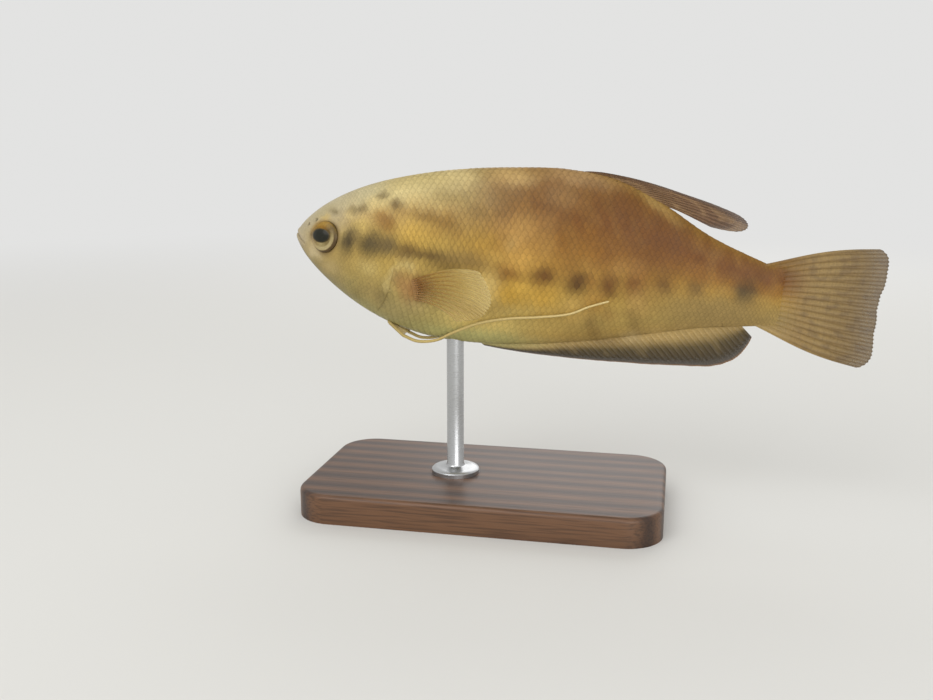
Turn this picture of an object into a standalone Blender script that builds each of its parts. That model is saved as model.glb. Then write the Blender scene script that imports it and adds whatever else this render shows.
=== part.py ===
"""Snakeskin gourami, life size, as a still museum model on a plain stand.

The fish swims towards -X with its head a little up, its left side faces -Y and +Z is up.
The origin is the middle of the underside of the stand's base. Everything is in metres.

Places on the fish are written in its own frame: x back from the snout along the body's
axis, y to its right, z up from the axis, before the whole fish is pitched and lifted.
"""
import math

import bmesh
import bpy
from mathutils import Matrix, Vector

# Driving sizes of the fish
STANDARD_LENGTH = 0.160                 # snout to the root of the tail fin
PITCH = math.radians(6.0)               # head up, tail down
GAP = 0.0003                            # left between pieces that touch
SEAT_ROOM = 0.00015                     # more beside a ridge that a fin straddles

# Body profile, in shares of the standard length:
# distance from the snout, top of the back, underside, half width, height of the widest level
BODY_STATIONS = [
    (0.000, 0.002, -0.002, 0.000, 0.000),
    (0.010, 0.026, -0.024, 0.017, 0.001),
    (0.030, 0.049, -0.048, 0.032, 0.000),
    (0.060, 0.075, -0.075, 0.045, -0.002),
    (0.100, 0.101, -0.104, 0.056, -0.006),
    (0.160, 0.130, -0.138, 0.067, -0.016),
    (0.240, 0.157, -0.168, 0.076, -0.026),
    (0.340, 0.181, -0.184, 0.078, -0.034),
    (0.460, 0.199, -0.180, 0.071, -0.029),
    (0.580, 0.208, -0.162, 0.060, -0.020),
    (0.680, 0.198, -0.140, 0.049, -0.011),
    (0.780, 0.160, -0.113, 0.037, -0.004),
    (0.880, 0.108, -0.086, 0.026, 0.000),
    (1.000, 0.066, -0.064, 0.013, 0.000),
]
BACK_ROUNDNESS = 1.8                    # 2 is an ellipse, less is sharper along the ridge
BELLY_ROUNDNESS = 1.9

# Where the body is parted, in shares of the standard length
GILL_NAPE = 0.205                       # gill line at the back of the head
GILL_SIDE = 0.045                       # how much further back the gill cover reaches
GILL_THROAT = -0.030                    # and how much further forward under the throat
STEM_START = 0.800                      # trunk ends, tail stem begins
GILL_RIM = 0.0005                       # step from the gill cover down to the trunk

# Mesh fineness
RING_SIDES = 48
HEAD_RINGS = 26
TRUNK_RINGS = 20
STEM_RINGS = 8

# Head
EYE_STATION = 0.079
EYE_LEVEL = 0.010
EYE_RADIUS = 0.0053
EYE_DOME = 0.0018
EYE_SINK = 0.0023                       # socket floor below the head's surface
EYE_WALL = 0.0010                       # straight side of the eye before its dome
EYE_SIDES = 28
EYE_RINGS = 5
MOUTH_SLOPE = math.radians(38.0)        # mouth line falls back from the snout
MOUTH_LENGTH = 0.0066
MOUTH_CUT = 0.8                         # share of that length that is cut open
MOUTH_OPENING = 0.0005
MOUTH_CORNER_OPENING = 0.0002
MOUTH_LEVEL = 0.0012                    # front of the mouth above the axis
LIP_HEIGHT = 0.0009
LIP_WIDTH = 0.0009
NOSTRILS = [(0.034, 0.030, 0.00055), (0.052, 0.042, 0.00065)]   # station, level, radius
NOSTRIL_DEPTH = 0.0008
NOSTRIL_TAPER = 0.6                     # the bottom is this much narrower
NOSTRIL_SIDES = 8

# Median fins, in shares of the standard length
DORSAL_ROOT = (0.600, 0.775)
ANAL_ROOT = (0.425, 0.965)
DORSAL_RAYS = 17
ANAL_RAYS = 46
CAUDAL_RAYS = 16
# place along the root (0 to 1), then the length of the ray or its angle over the axis in degrees
DORSAL_LENGTHS = [(0.0, 0.045), (0.4, 0.125), (0.72, 0.225), (0.88, 0.190), (1.0, 0.110)]
DORSAL_ANGLES = [(0.0, 2.0), (0.4, -5.0), (0.8, -12.0), (1.0, -20.0)]
ANAL_SWEEP = [(0.0, 0.018), (0.3, 0.045), (0.8, 0.075), (1.0, 0.085)]   # tip behind the root
# station of the tip, then its level: the fin's lower edge
ANAL_EDGE = [(0.40, -0.184), (0.50, -0.189), (0.62, -0.187), (0.74, -0.180),
             (0.86, -0.169), (0.96, -0.155), (1.06, -0.132)]
ANAL_CORNER = 0.66                      # the last ray is this much shorter
ANAL_CORNER_START = 0.76                # from this place on
CAUDAL_LENGTH = 0.250
CAUDAL_FORK = 0.024                     # middle rays shorter than the outer ones
CAUDAL_CORNER = 0.13                    # outermost rays shorter, which rounds the corners
CAUDAL_BOW = 0.011                      # outer rays bow outwards by this much
CAUDAL_SPREAD = math.radians(16.0)
CAUDAL_MARGIN = 0.03                    # root's ends inside the stem's top and bottom
CAUDAL_SPLIT = 0.55                     # rays fork this far out
STEM_SHARE = 0.95                       # thickness of the fin's root, as a share of the stem's

# Rows of points from the root (0) to the edge (1) of a fin
FIN_ROWS = [0.0, 0.1, 0.22, 0.5, 0.78, 1.0]
CAUDAL_ROWS = [0.0, 0.1, 0.22, 0.5, 0.62, 0.82, 1.0]
PELVIC_ROWS = [0.0, 0.3, 0.65, 1.0]
FIN_FLESH = 0.22                        # the fleshy root reaches this far out
FIN_TRIM = 0.97                         # film between rays ends short of their tips
# thickness at the root, over a ray and between rays
DORSAL_THICK = (0.0018, 0.0012, 0.0005)
ANAL_THICK = (0.0013, 0.0012, 0.0005)
CAUDAL_THICK = (0.0016, 0.0013, 0.0006)
PECTORAL_THICK = (0.0016, 0.0011, 0.0005)
PELVIC_THICK = (0.0013, 0.0011, 0.0007)

# Paired fins
PECTORAL_ROOT = ((0.284, -0.056), (0.294, -0.096))   # station and level of both ends
PECTORAL_RAYS = 10
PECTORAL_LENGTH = 0.295
PECTORAL_OUT = math.radians(38.0)       # away from the flank
PECTORAL_TOP = math.radians(27.0)       # uppermost and lowest ray above the axis
PECTORAL_LOW = math.radians(5.0)
PECTORAL_CUP = 0.0035
PECTORAL_DROOP = 0.0110                 # the longest ray's tip bends down this far
PECTORAL_LENGTHS = [(0.0, 0.92), (0.25, 1.0), (0.6, 0.90), (1.0, 0.58)]
PELVIC_ROOT = ((0.227, -0.159), (0.250, -0.166))
PELVIC_RAYS = 3
PELVIC_SHORT = (0.026, -0.010)          # back and down to the tip of the shortest ray
THREAD_CLEAR = 0.0011                   # middle of the thread off the flank
THREAD_SIDE = 0.0035                    # and never nearer to the middle than this
THREAD_RADIUS = (0.00060, 0.00030)      # root and tip
THREAD_SIDES = 6
# station, level and extra distance from the flank of the long thread of each pelvic fin
THREAD_ROUTE = [
    (0.266, -0.186, 0.000),
    (0.300, -0.194, 0.000),
    (0.342, -0.184, 0.001),
    (0.385, -0.155, 0.001),
    (0.440, -0.126, 0.000),
    (0.500, -0.108, 0.000),
    (0.560, -0.097, 0.000),
    (0.620, -0.083, 0.000),
    (0.660, -0.062, 0.000),
    (0.700, -0.044, 0.001),
]
THREAD_FRONT_END = 0.499                # share of the route where the front length ends
THREAD_REAR_START = 0.503
THREAD_RINGS = 26                       # rings on a whole thread

# Stand
BASE_LENGTH = 0.124
BASE_WIDTH = 0.068
BASE_THICKNESS = 0.010
BASE_CORNER = 0.013
BASE_BEVEL = 0.0016
ROD_STATION = 0.378                     # where the rod meets the belly
ROD_PLACE = -0.012                      # rod ahead of the middle of the base
ROD_RADIUS = 0.0030
ROD_SIDES = 20
ROD_FOOT_RADIUS = 0.0085
ROD_FOOT_HEIGHT = 0.0022
ROD_FOOT_EDGE = 0.6                     # share of that height where the foot's edge eases in
ROD_FOOT_TOP = 0.85                     # share of the foot's radius that is flat on top
ROD_COLLAR = (1.25, 1.6)                # fillet, in rod radii and foot heights
BELLY_HEIGHT = 0.058                    # belly above the floor at the rod


def curve_through(points, at):
    """Value at a place on the smooth curve through (place, value) points."""
    places = [place for place, value in points]
    values = [value for place, value in points]
    last = len(points) - 1
    i = 0
    while i < last - 1 and at > places[i + 1]:
        i += 1

    def slope(k):
        if k == 0:
            return (values[1] - values[0]) / (places[1] - places[0])
        if k == last:
            return (values[last] - values[last - 1]) / (places[last] - places[last - 1])
        before = places[k] - places[k - 1]
        after = places[k + 1] - places[k]
        rise_before = (values[k] - values[k - 1]) / before
        rise_after = (values[k + 1] - values[k]) / after
        return (rise_before * after + rise_after * before) / (before + after)

    span = places[i + 1] - places[i]
    t = (at - places[i]) / span
    start = (2 * t ** 3 - 3 * t ** 2 + 1) * values[i] + (t ** 3 - 2 * t ** 2 + t) * slope(i) * span
    end = (3 * t ** 2 - 2 * t ** 3) * values[i + 1] + (t ** 3 - t ** 2) * slope(i + 1) * span
    return start + end


def station_curve(column):
    """Curve of one column of the stations; a square root spreads out the blunt snout."""
    return [(math.sqrt(row[0]), row[column]) for row in BODY_STATIONS]


TOP, BOTTOM, HALF_WIDTH, WIDEST = (station_curve(column) for column in (1, 2, 3, 4))


def section(share):
    """Top, bottom, half width and widest level of the body, in metres."""
    root = math.sqrt(max(share, 0.0))
    return [curve_through(curve, root) * STANDARD_LENGTH
            for curve in (TOP, BOTTOM, HALF_WIDTH, WIDEST)]


def signed_power(value, exponent):
    return math.copysign(abs(value) ** exponent, value)


def body_point(share, angle, lift=0.0):
    """Point on the skin; the angle runs from the back (0) down the left side to the belly."""
    top, bottom, half_width, widest = section(share)
    rise, side = math.cos(angle), math.sin(angle)
    if rise > 0:
        height, roundness = top - widest, BACK_ROUNDNESS
    else:
        height, roundness = widest - bottom, BELLY_ROUNDNESS
    y = -(half_width + lift) * signed_power(side, 2.0 / roundness)
    z = widest + (height + lift) * signed_power(rise, 2.0 / roundness)
    return Vector((share * STANDARD_LENGTH, y, z))


def flank(x, z):
    """Half width of the body at a place along it and a height."""
    top, bottom, half_width, widest = section(x / STANDARD_LENGTH)
    if z > widest:
        reach, roundness = (z - widest) / (top - widest), BACK_ROUNDNESS
    else:
        reach, roundness = (widest - z) / (widest - bottom), BELLY_ROUNDNESS
    return half_width * max(0.0, 1.0 - reach ** roundness) ** (1.0 / roundness)


def ridge_height(x, y, below):
    """Height of the skin over (or under) a place near the middle of the body."""
    top, bottom, half_width, widest = section(x / STANDARD_LENGTH)
    roundness = BELLY_ROUNDNESS if below else BACK_ROUNDNESS
    share = max(0.0, 1.0 - (abs(y) / half_width) ** roundness) ** (1.0 / roundness)
    return widest - (widest - bottom) * share if below else widest + (top - widest) * share


def outward(share, angle):
    """Unit vector out of the skin."""
    along = body_point(share + 0.002, angle) - body_point(share - 0.002, angle)
    around = body_point(share, angle + 0.01) - body_point(share, angle - 0.01)
    return around.cross(along).normalized()


def side_angle(share, level):
    """Angle at which the skin of the left side has this level (a share of the length)."""
    low, high = 0.0, math.pi
    for _ in range(40):
        middle = (low + high) / 2
        if body_point(share, middle).z > level * STANDARD_LENGTH:
            low = middle
        else:
            high = middle
    return low


def fish_frame():
    """Matrix that pitches the fish and lifts it over the rod."""
    x = ROD_STATION * STANDARD_LENGTH
    belly = Vector((x, 0.0, ridge_height(x, 0.0, below=True)))
    turn = Matrix.Rotation(PITCH, 4, 'Y')
    return Matrix.Translation(Vector((ROD_PLACE, 0.0, BELLY_HEIGHT)) - turn @ belly) @ turn


FISH = fish_frame()


def srgb(hex_colour):
    """Linear colour with full alpha from an sRGB hex value."""
    parts = [int(hex_colour[i:i + 2], 16) / 255 for i in (1, 3, 5)]
    linear = [p / 12.92 if p <= 0.04045 else ((p + 0.055) / 1.055) ** 2.4 for p in parts]
    return (*linear, 1.0)


def material(name, hex_colour, roughness, metallic=0.0):
    made = bpy.data.materials.new(name)
    made.use_nodes = True
    shader = made.node_tree.nodes["Principled BSDF"]
    shader.inputs["Base Color"].default_value = srgb(hex_colour)
    shader.inputs["Roughness"].default_value = roughness
    shader.inputs["Metallic"].default_value = metallic
    return made


def solid(name, points, faces, finish, frame=FISH):
    """New object from points and faces, with its faces turned outwards."""
    mesh = bpy.data.meshes.new(name)
    mesh.from_pydata([frame @ Vector(point) for point in points], [], faces)
    work = bmesh.new()
    work.from_mesh(mesh)
    bmesh.ops.recalc_face_normals(work, faces=work.faces)
    work.to_mesh(mesh)
    work.free()
    mesh.materials.append(finish)
    made = bpy.data.objects.new(name, mesh)
    bpy.context.scene.collection.objects.link(made)
    mesh.shade_smooth()
    mesh.set_sharp_from_angle(angle=math.radians(40.0))
    return made


def ring_faces(first, second, sides):
    """Two triangles between each pair of neighbours on two rings of points."""
    faces = []
    for k in range(sides):
        after = (k + 1) % sides
        faces.append((first + k, first + after, second + after))
        faces.append((first + k, second + after, second + k))
    return faces


def fan_faces(centre, ring, sides):
    return [(centre, ring + k, ring + (k + 1) % sides) for k in range(sides)]


def loft(rings, start, end):
    """Points and faces of a closed body over rings of points, with a point at each end."""
    sides = len(rings[0])
    points = [point for ring in rings for point in ring] + [start, end]
    faces = []
    for i in range(len(rings) - 1):
        faces += ring_faces(i * sides, (i + 1) * sides, sides)
    faces += fan_faces(len(points) - 2, 0, sides)
    faces += fan_faces(len(points) - 1, (len(rings) - 1) * sides, sides)
    return points, faces


def ring_angles():
    return [2.0 * math.pi * k / RING_SIDES for k in range(RING_SIDES)]


def gill_line(angle):
    """Station of the gill opening, furthest back on the cheek, forward under the throat."""
    side = max(0.0, math.sin(abs(math.remainder(angle, 2 * math.pi)) * 0.93)) ** 1.5
    under = (1.0 - math.cos(angle)) / 2.0
    return GILL_NAPE + GILL_SIDE * side + GILL_THROAT * under ** 3


def gill_middle():
    return Vector((GILL_NAPE * STANDARD_LENGTH, 0.0, 0.0))


def lip_lift(point):
    """Swelling of both lips beside the mouth line."""
    back = point.x * math.cos(MOUTH_SLOPE) - (point.z - MOUTH_LEVEL) * math.sin(MOUTH_SLOPE)
    off = point.x * math.sin(MOUTH_SLOPE) + (point.z - MOUTH_LEVEL) * math.cos(MOUTH_SLOPE)
    fade = max(0.0, 1.0 - max(0.0, back) / MOUTH_LENGTH)
    return LIP_HEIGHT * fade ** 0.5 * math.exp(-(off / LIP_WIDTH) ** 2)


def head_ring(share):
    """One ring of the head; share 1 is the gill line."""
    ring = []
    for angle in ring_angles():
        station = gill_line(angle) * share
        point = body_point(station, angle)
        cheek = max(0.0, math.sin(abs(math.remainder(angle, 2 * math.pi))))
        rim = GILL_RIM * cheek * max(0.0, (share - 0.8) / 0.2)
        ring.append(point + outward(max(station, 0.004), angle) * (rim + lip_lift(point)))
    return ring


def make_head(finish):
    shares = [(i / HEAD_RINGS) ** 1.7 for i in range(1, HEAD_RINGS + 1)]
    rings = [head_ring(share) for share in shares]
    snout = Vector((-LIP_HEIGHT * 0.6, 0.0, 0.0))
    head = solid("head", *loft(rings, snout, gill_middle()), finish)
    for side in (-1, 1):
        cut(head, eye_cutter(side))
        for nostril in NOSTRILS:
            cut(head, nostril_cutter(nostril, side))
    cut(head, mouth_cutter())
    return head


def trunk_ring(share):
    ring = []
    for angle in ring_angles():
        station = gill_line(angle) * (1 - share) + STEM_START * share
        ring.append(body_point(station, angle))
    return ring


def make_trunk(finish):
    shift = Vector((GAP, 0.0, 0.0))
    front = [body_point(gill_line(a) + GAP / STANDARD_LENGTH, a) for a in ring_angles()]
    rings = [front] + [trunk_ring(i / TRUNK_RINGS) for i in range(1, TRUNK_RINGS + 1)]
    end = Vector((STEM_START * STANDARD_LENGTH, 0.0, 0.0))
    return solid("trunk", *loft(rings, gill_middle() + shift, end), finish)


def make_tail_stem(finish):
    first = STEM_START + GAP / STANDARD_LENGTH
    stations = [first + (1.0 - first) * i / STEM_RINGS for i in range(STEM_RINGS + 1)]
    rings = [[body_point(station, angle) for angle in ring_angles()] for station in stations]
    start = Vector((first * STANDARD_LENGTH, 0.0, 0.0))
    end = Vector((STANDARD_LENGTH, 0.0, 0.0))
    return solid("tail_stem", *loft(rings, start, end), finish)


def cut(target, cutter):
    """Cut one solid out of another and remove the cutter."""
    boolean = target.modifiers.new("cut", 'BOOLEAN')
    boolean.operation = 'DIFFERENCE'
    boolean.solver = 'EXACT'
    boolean.object = cutter
    bpy.context.view_layer.objects.active = target
    with bpy.context.temp_override(object=target, active_object=target):
        bpy.ops.object.modifier_apply(modifier="cut")
    bpy.data.objects.remove(cutter, do_unlink=True)


def circle(radius, height, sides, centre=0.0):
    """Ring of points round an upright axis at a place on X."""
    turns = [2 * math.pi * k / sides for k in range(sides)]
    return [Vector((centre + radius * math.cos(t), radius * math.sin(t), height)) for t in turns]


def turned(name, profile, sides, finish, frame):
    """Solid turned about its own Z from (radius, height) points, bottom to top."""
    rings = [circle(radius, height, sides) for radius, height in profile]
    start = Vector((0.0, 0.0, profile[0][1]))
    end = Vector((0.0, 0.0, profile[-1][1]))
    return solid(name, *loft(rings, start, end), finish, frame)


def seat_frame(station, level, side):
    """Frame on the skin with its Z pointing out of it, on the left (-1) or right (1)."""
    angle = side_angle(station, level)
    point = body_point(station, angle)
    out = outward(station, angle)
    if out.y > 0:
        out = -out
    if side > 0:
        point.y, out.y = -point.y, -out.y
    turn = out.to_track_quat('Z', 'X').to_matrix().to_4x4()
    return FISH @ Matrix.Translation(point) @ turn


def eye_cutter(side):
    frame = seat_frame(EYE_STATION, EYE_LEVEL, side)
    radius = EYE_RADIUS + GAP
    clear = 2 * EYE_RADIUS
    return turned("eye_cutter", [(radius, -EYE_SINK), (radius, clear)], EYE_SIDES, None, frame)


def make_eye(name, side, finish):
    """Eyeball as a low dome on a short straight wall, set in its socket."""
    frame = seat_frame(EYE_STATION, EYE_LEVEL, side)
    low = GAP - EYE_SINK
    turns = [math.pi / 2 * i / EYE_RINGS for i in range(EYE_RINGS)]
    dome = [(EYE_RADIUS * math.cos(t), low + EYE_WALL + EYE_DOME * math.sin(t)) for t in turns]
    top = Vector((0.0, 0.0, low + EYE_WALL + EYE_DOME))
    rings = [circle(radius, height, EYE_SIDES) for radius, height in [(EYE_RADIUS, low)] + dome]
    return solid(name, *loft(rings, Vector((0.0, 0.0, low)), top), finish, frame)


def nostril_cutter(nostril, side):
    station, level, radius = nostril
    frame = seat_frame(station, level, side)
    profile = [(radius * NOSTRIL_TAPER, -NOSTRIL_DEPTH), (radius, 2 * NOSTRIL_DEPTH)]
    return turned("nostril_cutter", profile, NOSTRIL_SIDES, None, frame)


def mouth_cutter():
    """Thin wedge that parts the lips from the front and both sides."""
    turn = Matrix.Rotation(MOUTH_SLOPE, 4, 'Y')
    frame = FISH @ Matrix.Translation((0.0, 0.0, MOUTH_LEVEL)) @ turn
    front, back, half = -MOUTH_LENGTH, MOUTH_LENGTH * MOUTH_CUT, 2 * MOUTH_LENGTH
    open_front, open_back = MOUTH_OPENING, MOUTH_CORNER_OPENING
    points = []
    for y in (-half, half):
        points += [(front, y, -open_front), (back, y, -open_back),
                   (back, y, open_back), (front, y, open_front)]
    faces = [(0, 1, 2, 3), (7, 6, 5, 4), (0, 4, 5, 1), (1, 5, 6, 2), (2, 6, 7, 3), (3, 7, 4, 0)]
    return solid("mouth_cutter", points, faces, None, frame)


def ray_columns(rays, each):
    """Places along a fin's root, several to each ray cell; phase 0 is between two rays."""
    count = rays * each
    return [(k / count, (k % each) / each) for k in range(count + 1)]


def ridge(phase, out, split):
    """Height of a ray's ridge over the membrane, 0 to 1; past the split it is two."""
    if out < split:
        return 1.0 if abs(phase - 0.5) < 0.01 else 0.0
    return 0.6 if abs(abs(phase - 0.5) - 0.25) < 0.01 else 0.0


def fin(name, columns, rows, middle, across, thick, seat, finish):
    """Thin closed fin with the same triangles on both faces.

    middle and across give the membrane's middle and its sideways direction at a place
    along the root and a share of the way out, and seat lays the root on the body.
    """
    near, far = [], []
    for out in rows:
        for place, phase in columns:
            centre = middle(place, phase, out)
            half = across(place, out) * thick(place, phase, out) / 2.0
            pair = [centre + half, centre - half]
            if out == 0.0:
                pair = [seat(point) for point in pair]
            near.append(pair[0])
            far.append(pair[1])
    saddle = [seat(middle(place, phase, 0.0)) for place, phase in columns]
    wide, size = len(columns), len(near)
    faces = []
    for r in range(len(rows) - 1):
        for c in range(wide - 1):
            a, b = r * wide + c, r * wide + c + 1
            d, e = a + wide, b + wide
            faces += [(a, b, e), (a, e, d)]
            faces += [(a + size, e + size, b + size), (a + size, d + size, e + size)]
    for c in range(wide - 1):
        low = 2 * size + c
        for a in (c, c + size):
            faces += [(a, a + 1, low + 1), (a, low + 1, low)]
    border = [r * wide + wide - 1 for r in range(len(rows))]
    border += [(len(rows) - 1) * wide + c for c in range(wide - 2, -1, -1)]
    border += [r * wide for r in range(len(rows) - 2, -1, -1)]
    for a, b in zip(border, border[1:]):
        faces += [(a, a + size, b + size), (a, b + size, b)]
    for c in (0, wide - 1):
        faces.append((c, 2 * size + c, c + size))
    return solid(name, near + far + saddle, faces, finish)


def straight_across(place, out):
    return Vector((0.0, 1.0, 0.0))


def lerp(a, b, t):
    return a + (b - a) * t


def over_back(point):
    """Seat on the back; beside the ridge it keeps a little more room, as its faces are flat."""
    room = GAP + (SEAT_ROOM if point.y else 0.0)
    return Vector((point.x, point.y, ridge_height(point.x, point.y, below=False) + room))


def under_belly(point):
    room = GAP + (SEAT_ROOM if point.y else 0.0)
    return Vector((point.x, point.y, ridge_height(point.x, point.y, below=True) - room))


def trim(phase):
    """The film between two rays (phase 0) ends a little short of their tips."""
    return 1.0 if phase else FIN_TRIM


def dorsal_middle(place, phase, out):
    """Half folded fin: the rays sweep back over the falling line of the back."""
    root = lerp(*DORSAL_ROOT, place)
    angle = math.radians(curve_through(DORSAL_ANGLES, place))
    reach = curve_through(DORSAL_LENGTHS, place) * trim(phase) * out
    x = (root + reach * math.cos(angle)) * STANDARD_LENGTH
    z = ridge_height(root * STANDARD_LENGTH, 0.0, below=False) + GAP
    return Vector((x, 0.0, z + reach * math.sin(angle) * STANDARD_LENGTH))


def anal_middle(place, phase, out):
    """Long fin under the rear half; its edge stays low while the body rises."""
    root = lerp(*ANAL_ROOT, place)
    tip = root + curve_through(ANAL_SWEEP, place)
    edge = curve_through(ANAL_EDGE, tip)
    start = ridge_height(root * STANDARD_LENGTH, 0.0, below=True) - GAP
    corner = max(0.0, place - ANAL_CORNER_START) / (1.0 - ANAL_CORNER_START)
    reach = out * trim(phase) * (1.0 - ANAL_CORNER * corner ** 2)
    x = lerp(root, tip, reach) * STANDARD_LENGTH
    return Vector((x, 0.0, lerp(start, edge * STANDARD_LENGTH, reach)))


def caudal_middle(place, phase, out):
    """Fan behind the tail stem with a shallow notch, rounded corners and bowed outer rays."""
    top, bottom, half_width, widest = section(1.0)
    z = lerp(top, bottom, lerp(CAUDAL_MARGIN, 1.0 - CAUDAL_MARGIN, place))
    side = 1.0 - 2.0 * place
    length = (CAUDAL_LENGTH - CAUDAL_FORK * math.cos(math.pi / 2 * side)) * STANDARD_LENGTH
    length *= trim(phase) * (1.0 - CAUDAL_CORNER * abs(side) ** 6)
    angle = CAUDAL_SPREAD * side
    bow = CAUDAL_BOW * STANDARD_LENGTH * side * math.sin(math.pi * out)
    x = STANDARD_LENGTH + GAP + math.cos(angle) * length * out
    return Vector((x, 0.0, z + math.sin(angle) * length * out + bow))


def behind_stem(point):
    return Vector((STANDARD_LENGTH + GAP, point.y, point.z))


def thickness(root, ray, membrane, split=2.0):
    """Fin thickness: fleshy at the root, then rays standing over a thin membrane."""
    def at(place, phase, out):
        flat = membrane + (ray - membrane) * ridge(phase, out, split) * (1.0 - 0.35 * out)
        flesh = max(0.0, 1.0 - out / FIN_FLESH) ** 2
        return lerp(flat, root, flesh)
    return at


def caudal_thick(place, phase, out):
    """The root is as thick as the end of the tail stem."""
    least, ray, film = CAUDAL_THICK
    stem = 2.0 * flank(STANDARD_LENGTH, caudal_middle(place, phase, 0.0).z) * STEM_SHARE
    return thickness(max(least, stem), ray, film, CAUDAL_SPLIT)(place, phase, out)


def pectoral_middle(place, phase, out):
    """Fan that stands away from the flank, a little cupped and bent down at the tips."""
    (x0, z0), (x1, z1) = PECTORAL_ROOT
    x, z = lerp(x0, x1, place) * STANDARD_LENGTH, lerp(z0, z1, place) * STANDARD_LENGTH
    root = Vector((x, -flank(x, z) - GAP, z))
    angle = lerp(PECTORAL_TOP, PECTORAL_LOW, place)
    length = curve_through(PECTORAL_LENGTHS, place) * PECTORAL_LENGTH * STANDARD_LENGTH
    reach = length * trim(phase) * out
    back = Vector((math.cos(PECTORAL_OUT), -math.sin(PECTORAL_OUT), 0.0))
    cup = pectoral_across(place, out) * PECTORAL_CUP * out ** 2
    droop = PECTORAL_DROOP * (reach / (PECTORAL_LENGTH * STANDARD_LENGTH)) ** 2
    up = Vector((0.0, 0.0, reach * math.sin(angle) - droop))
    return root + back * (reach * math.cos(angle)) + up - cup


def pectoral_across(place, out):
    return Vector((math.sin(PECTORAL_OUT), math.cos(PECTORAL_OUT), 0.0))


def on_flank(point):
    return Vector((point.x, -flank(point.x, point.z) - GAP, point.z))


def pelvic_middle(place, phase, out):
    """Small fan behind the throat; its first ray runs on as the long thread."""
    (x0, z0), (x1, z1) = PELVIC_ROOT
    x, z = lerp(x0, x1, place) * STANDARD_LENGTH, lerp(z0, z1, place) * STANDARD_LENGTH
    root = Vector((x, -flank(x, z) - GAP, z))
    end = thread_point(0.0) - thread_way(0.0) * GAP
    back, down = PELVIC_SHORT
    short = Vector(((x1 + back) * STANDARD_LENGTH, end.y, (z1 + down) * STANDARD_LENGTH))
    return lerp(root, lerp(end, short, place), out)


def pelvic_across(place, out):
    return Vector((0.25, 0.97, 0.0)).normalized()


def thread_knots():
    knots = []
    for station, level, extra in THREAD_ROUTE:
        x, z = station * STANDARD_LENGTH, level * STANDARD_LENGTH
        knots.append(Vector((x, -max(flank(x, z) + THREAD_CLEAR, THREAD_SIDE) - extra, z)))
    return knots


def thread_point(t):
    """Point on the long thread of the left side, 0 at its root and 1 at its tip."""
    knots = thread_knots()
    places = [i / (len(knots) - 1) for i in range(len(knots))]
    return Vector([curve_through(list(zip(places, [knot[axis] for knot in knots])), t)
                   for axis in range(3)])


def thread_way(t):
    low, high = max(0.0, t - 0.01), min(1.0, t + 0.01)
    return (thread_point(high) - thread_point(low)).normalized()


def make_thread(name, first, last, side, finish):
    """One length of a thread, a tapered tube of six sides."""
    steps = round((last - first) * THREAD_RINGS)
    rings = []
    for i in range(steps + 1):
        t = lerp(first, last, i / steps)
        way = thread_way(t)
        wide = way.cross(Vector((0.0, 0.0, 1.0))).normalized()
        high = wide.cross(way)
        radius = lerp(*THREAD_RADIUS, t)
        ring = []
        for k in range(THREAD_SIDES):
            turn = 2.0 * math.pi * k / THREAD_SIDES
            ring.append(thread_point(t) + (wide * math.cos(turn) + high * math.sin(turn)) * radius)
        rings.append(ring)
    points, faces = loft(rings, thread_point(first), thread_point(last))
    return solid(name, mirrored(points, side), faces, finish)


def mirrored(points, side):
    """The points themselves for the left (-1), or their mirror image for the right (1)."""
    return [Vector((p.x, -side * p.y, p.z)) if side > 0 else p for p in points]


def mirror_copy(source, name):
    """Right hand twin of a left hand piece."""
    made = source.copy()
    made.data = source.data.copy()
    made.name = name
    made.data.transform(Matrix.Scale(-1.0, 4, Vector((0.0, 1.0, 0.0))))
    made.data.flip_normals()
    bpy.context.scene.collection.objects.link(made)
    return made


def belly_under(x, y):
    """Height of the belly's skin above a place on the floor."""
    height = BELLY_HEIGHT
    back = FISH.inverted()
    for _ in range(20):
        inside = back @ Vector((x, y, height))
        skin = Vector((inside.x, y, ridge_height(inside.x, y, below=True)))
        height += (skin.z - inside.z) * math.cos(PITCH)
    return height


def make_rod(finish):
    """Rod with a round foot; its top follows the belly."""
    low = BASE_THICKNESS + GAP
    collar_radius, collar_height = ROD_COLLAR
    profile = [(ROD_FOOT_RADIUS, low), (ROD_FOOT_RADIUS, low + ROD_FOOT_HEIGHT * ROD_FOOT_EDGE),
               (ROD_FOOT_RADIUS * ROD_FOOT_TOP, low + ROD_FOOT_HEIGHT),
               (ROD_RADIUS * collar_radius, low + ROD_FOOT_HEIGHT),
               (ROD_RADIUS, low + ROD_FOOT_HEIGHT * collar_height)]
    rings = [circle(radius, height, ROD_SIDES, ROD_PLACE) for radius, height in profile]
    rings.append([Vector((point.x, point.y, belly_under(point.x, point.y) - GAP))
                  for point in rings[-1]])
    start = Vector((ROD_PLACE, 0.0, low))
    end = Vector((ROD_PLACE, 0.0, belly_under(ROD_PLACE, 0.0) - GAP))
    return solid("stand_rod", *loft(rings, start, end), finish, Matrix.Identity(4))


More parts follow.
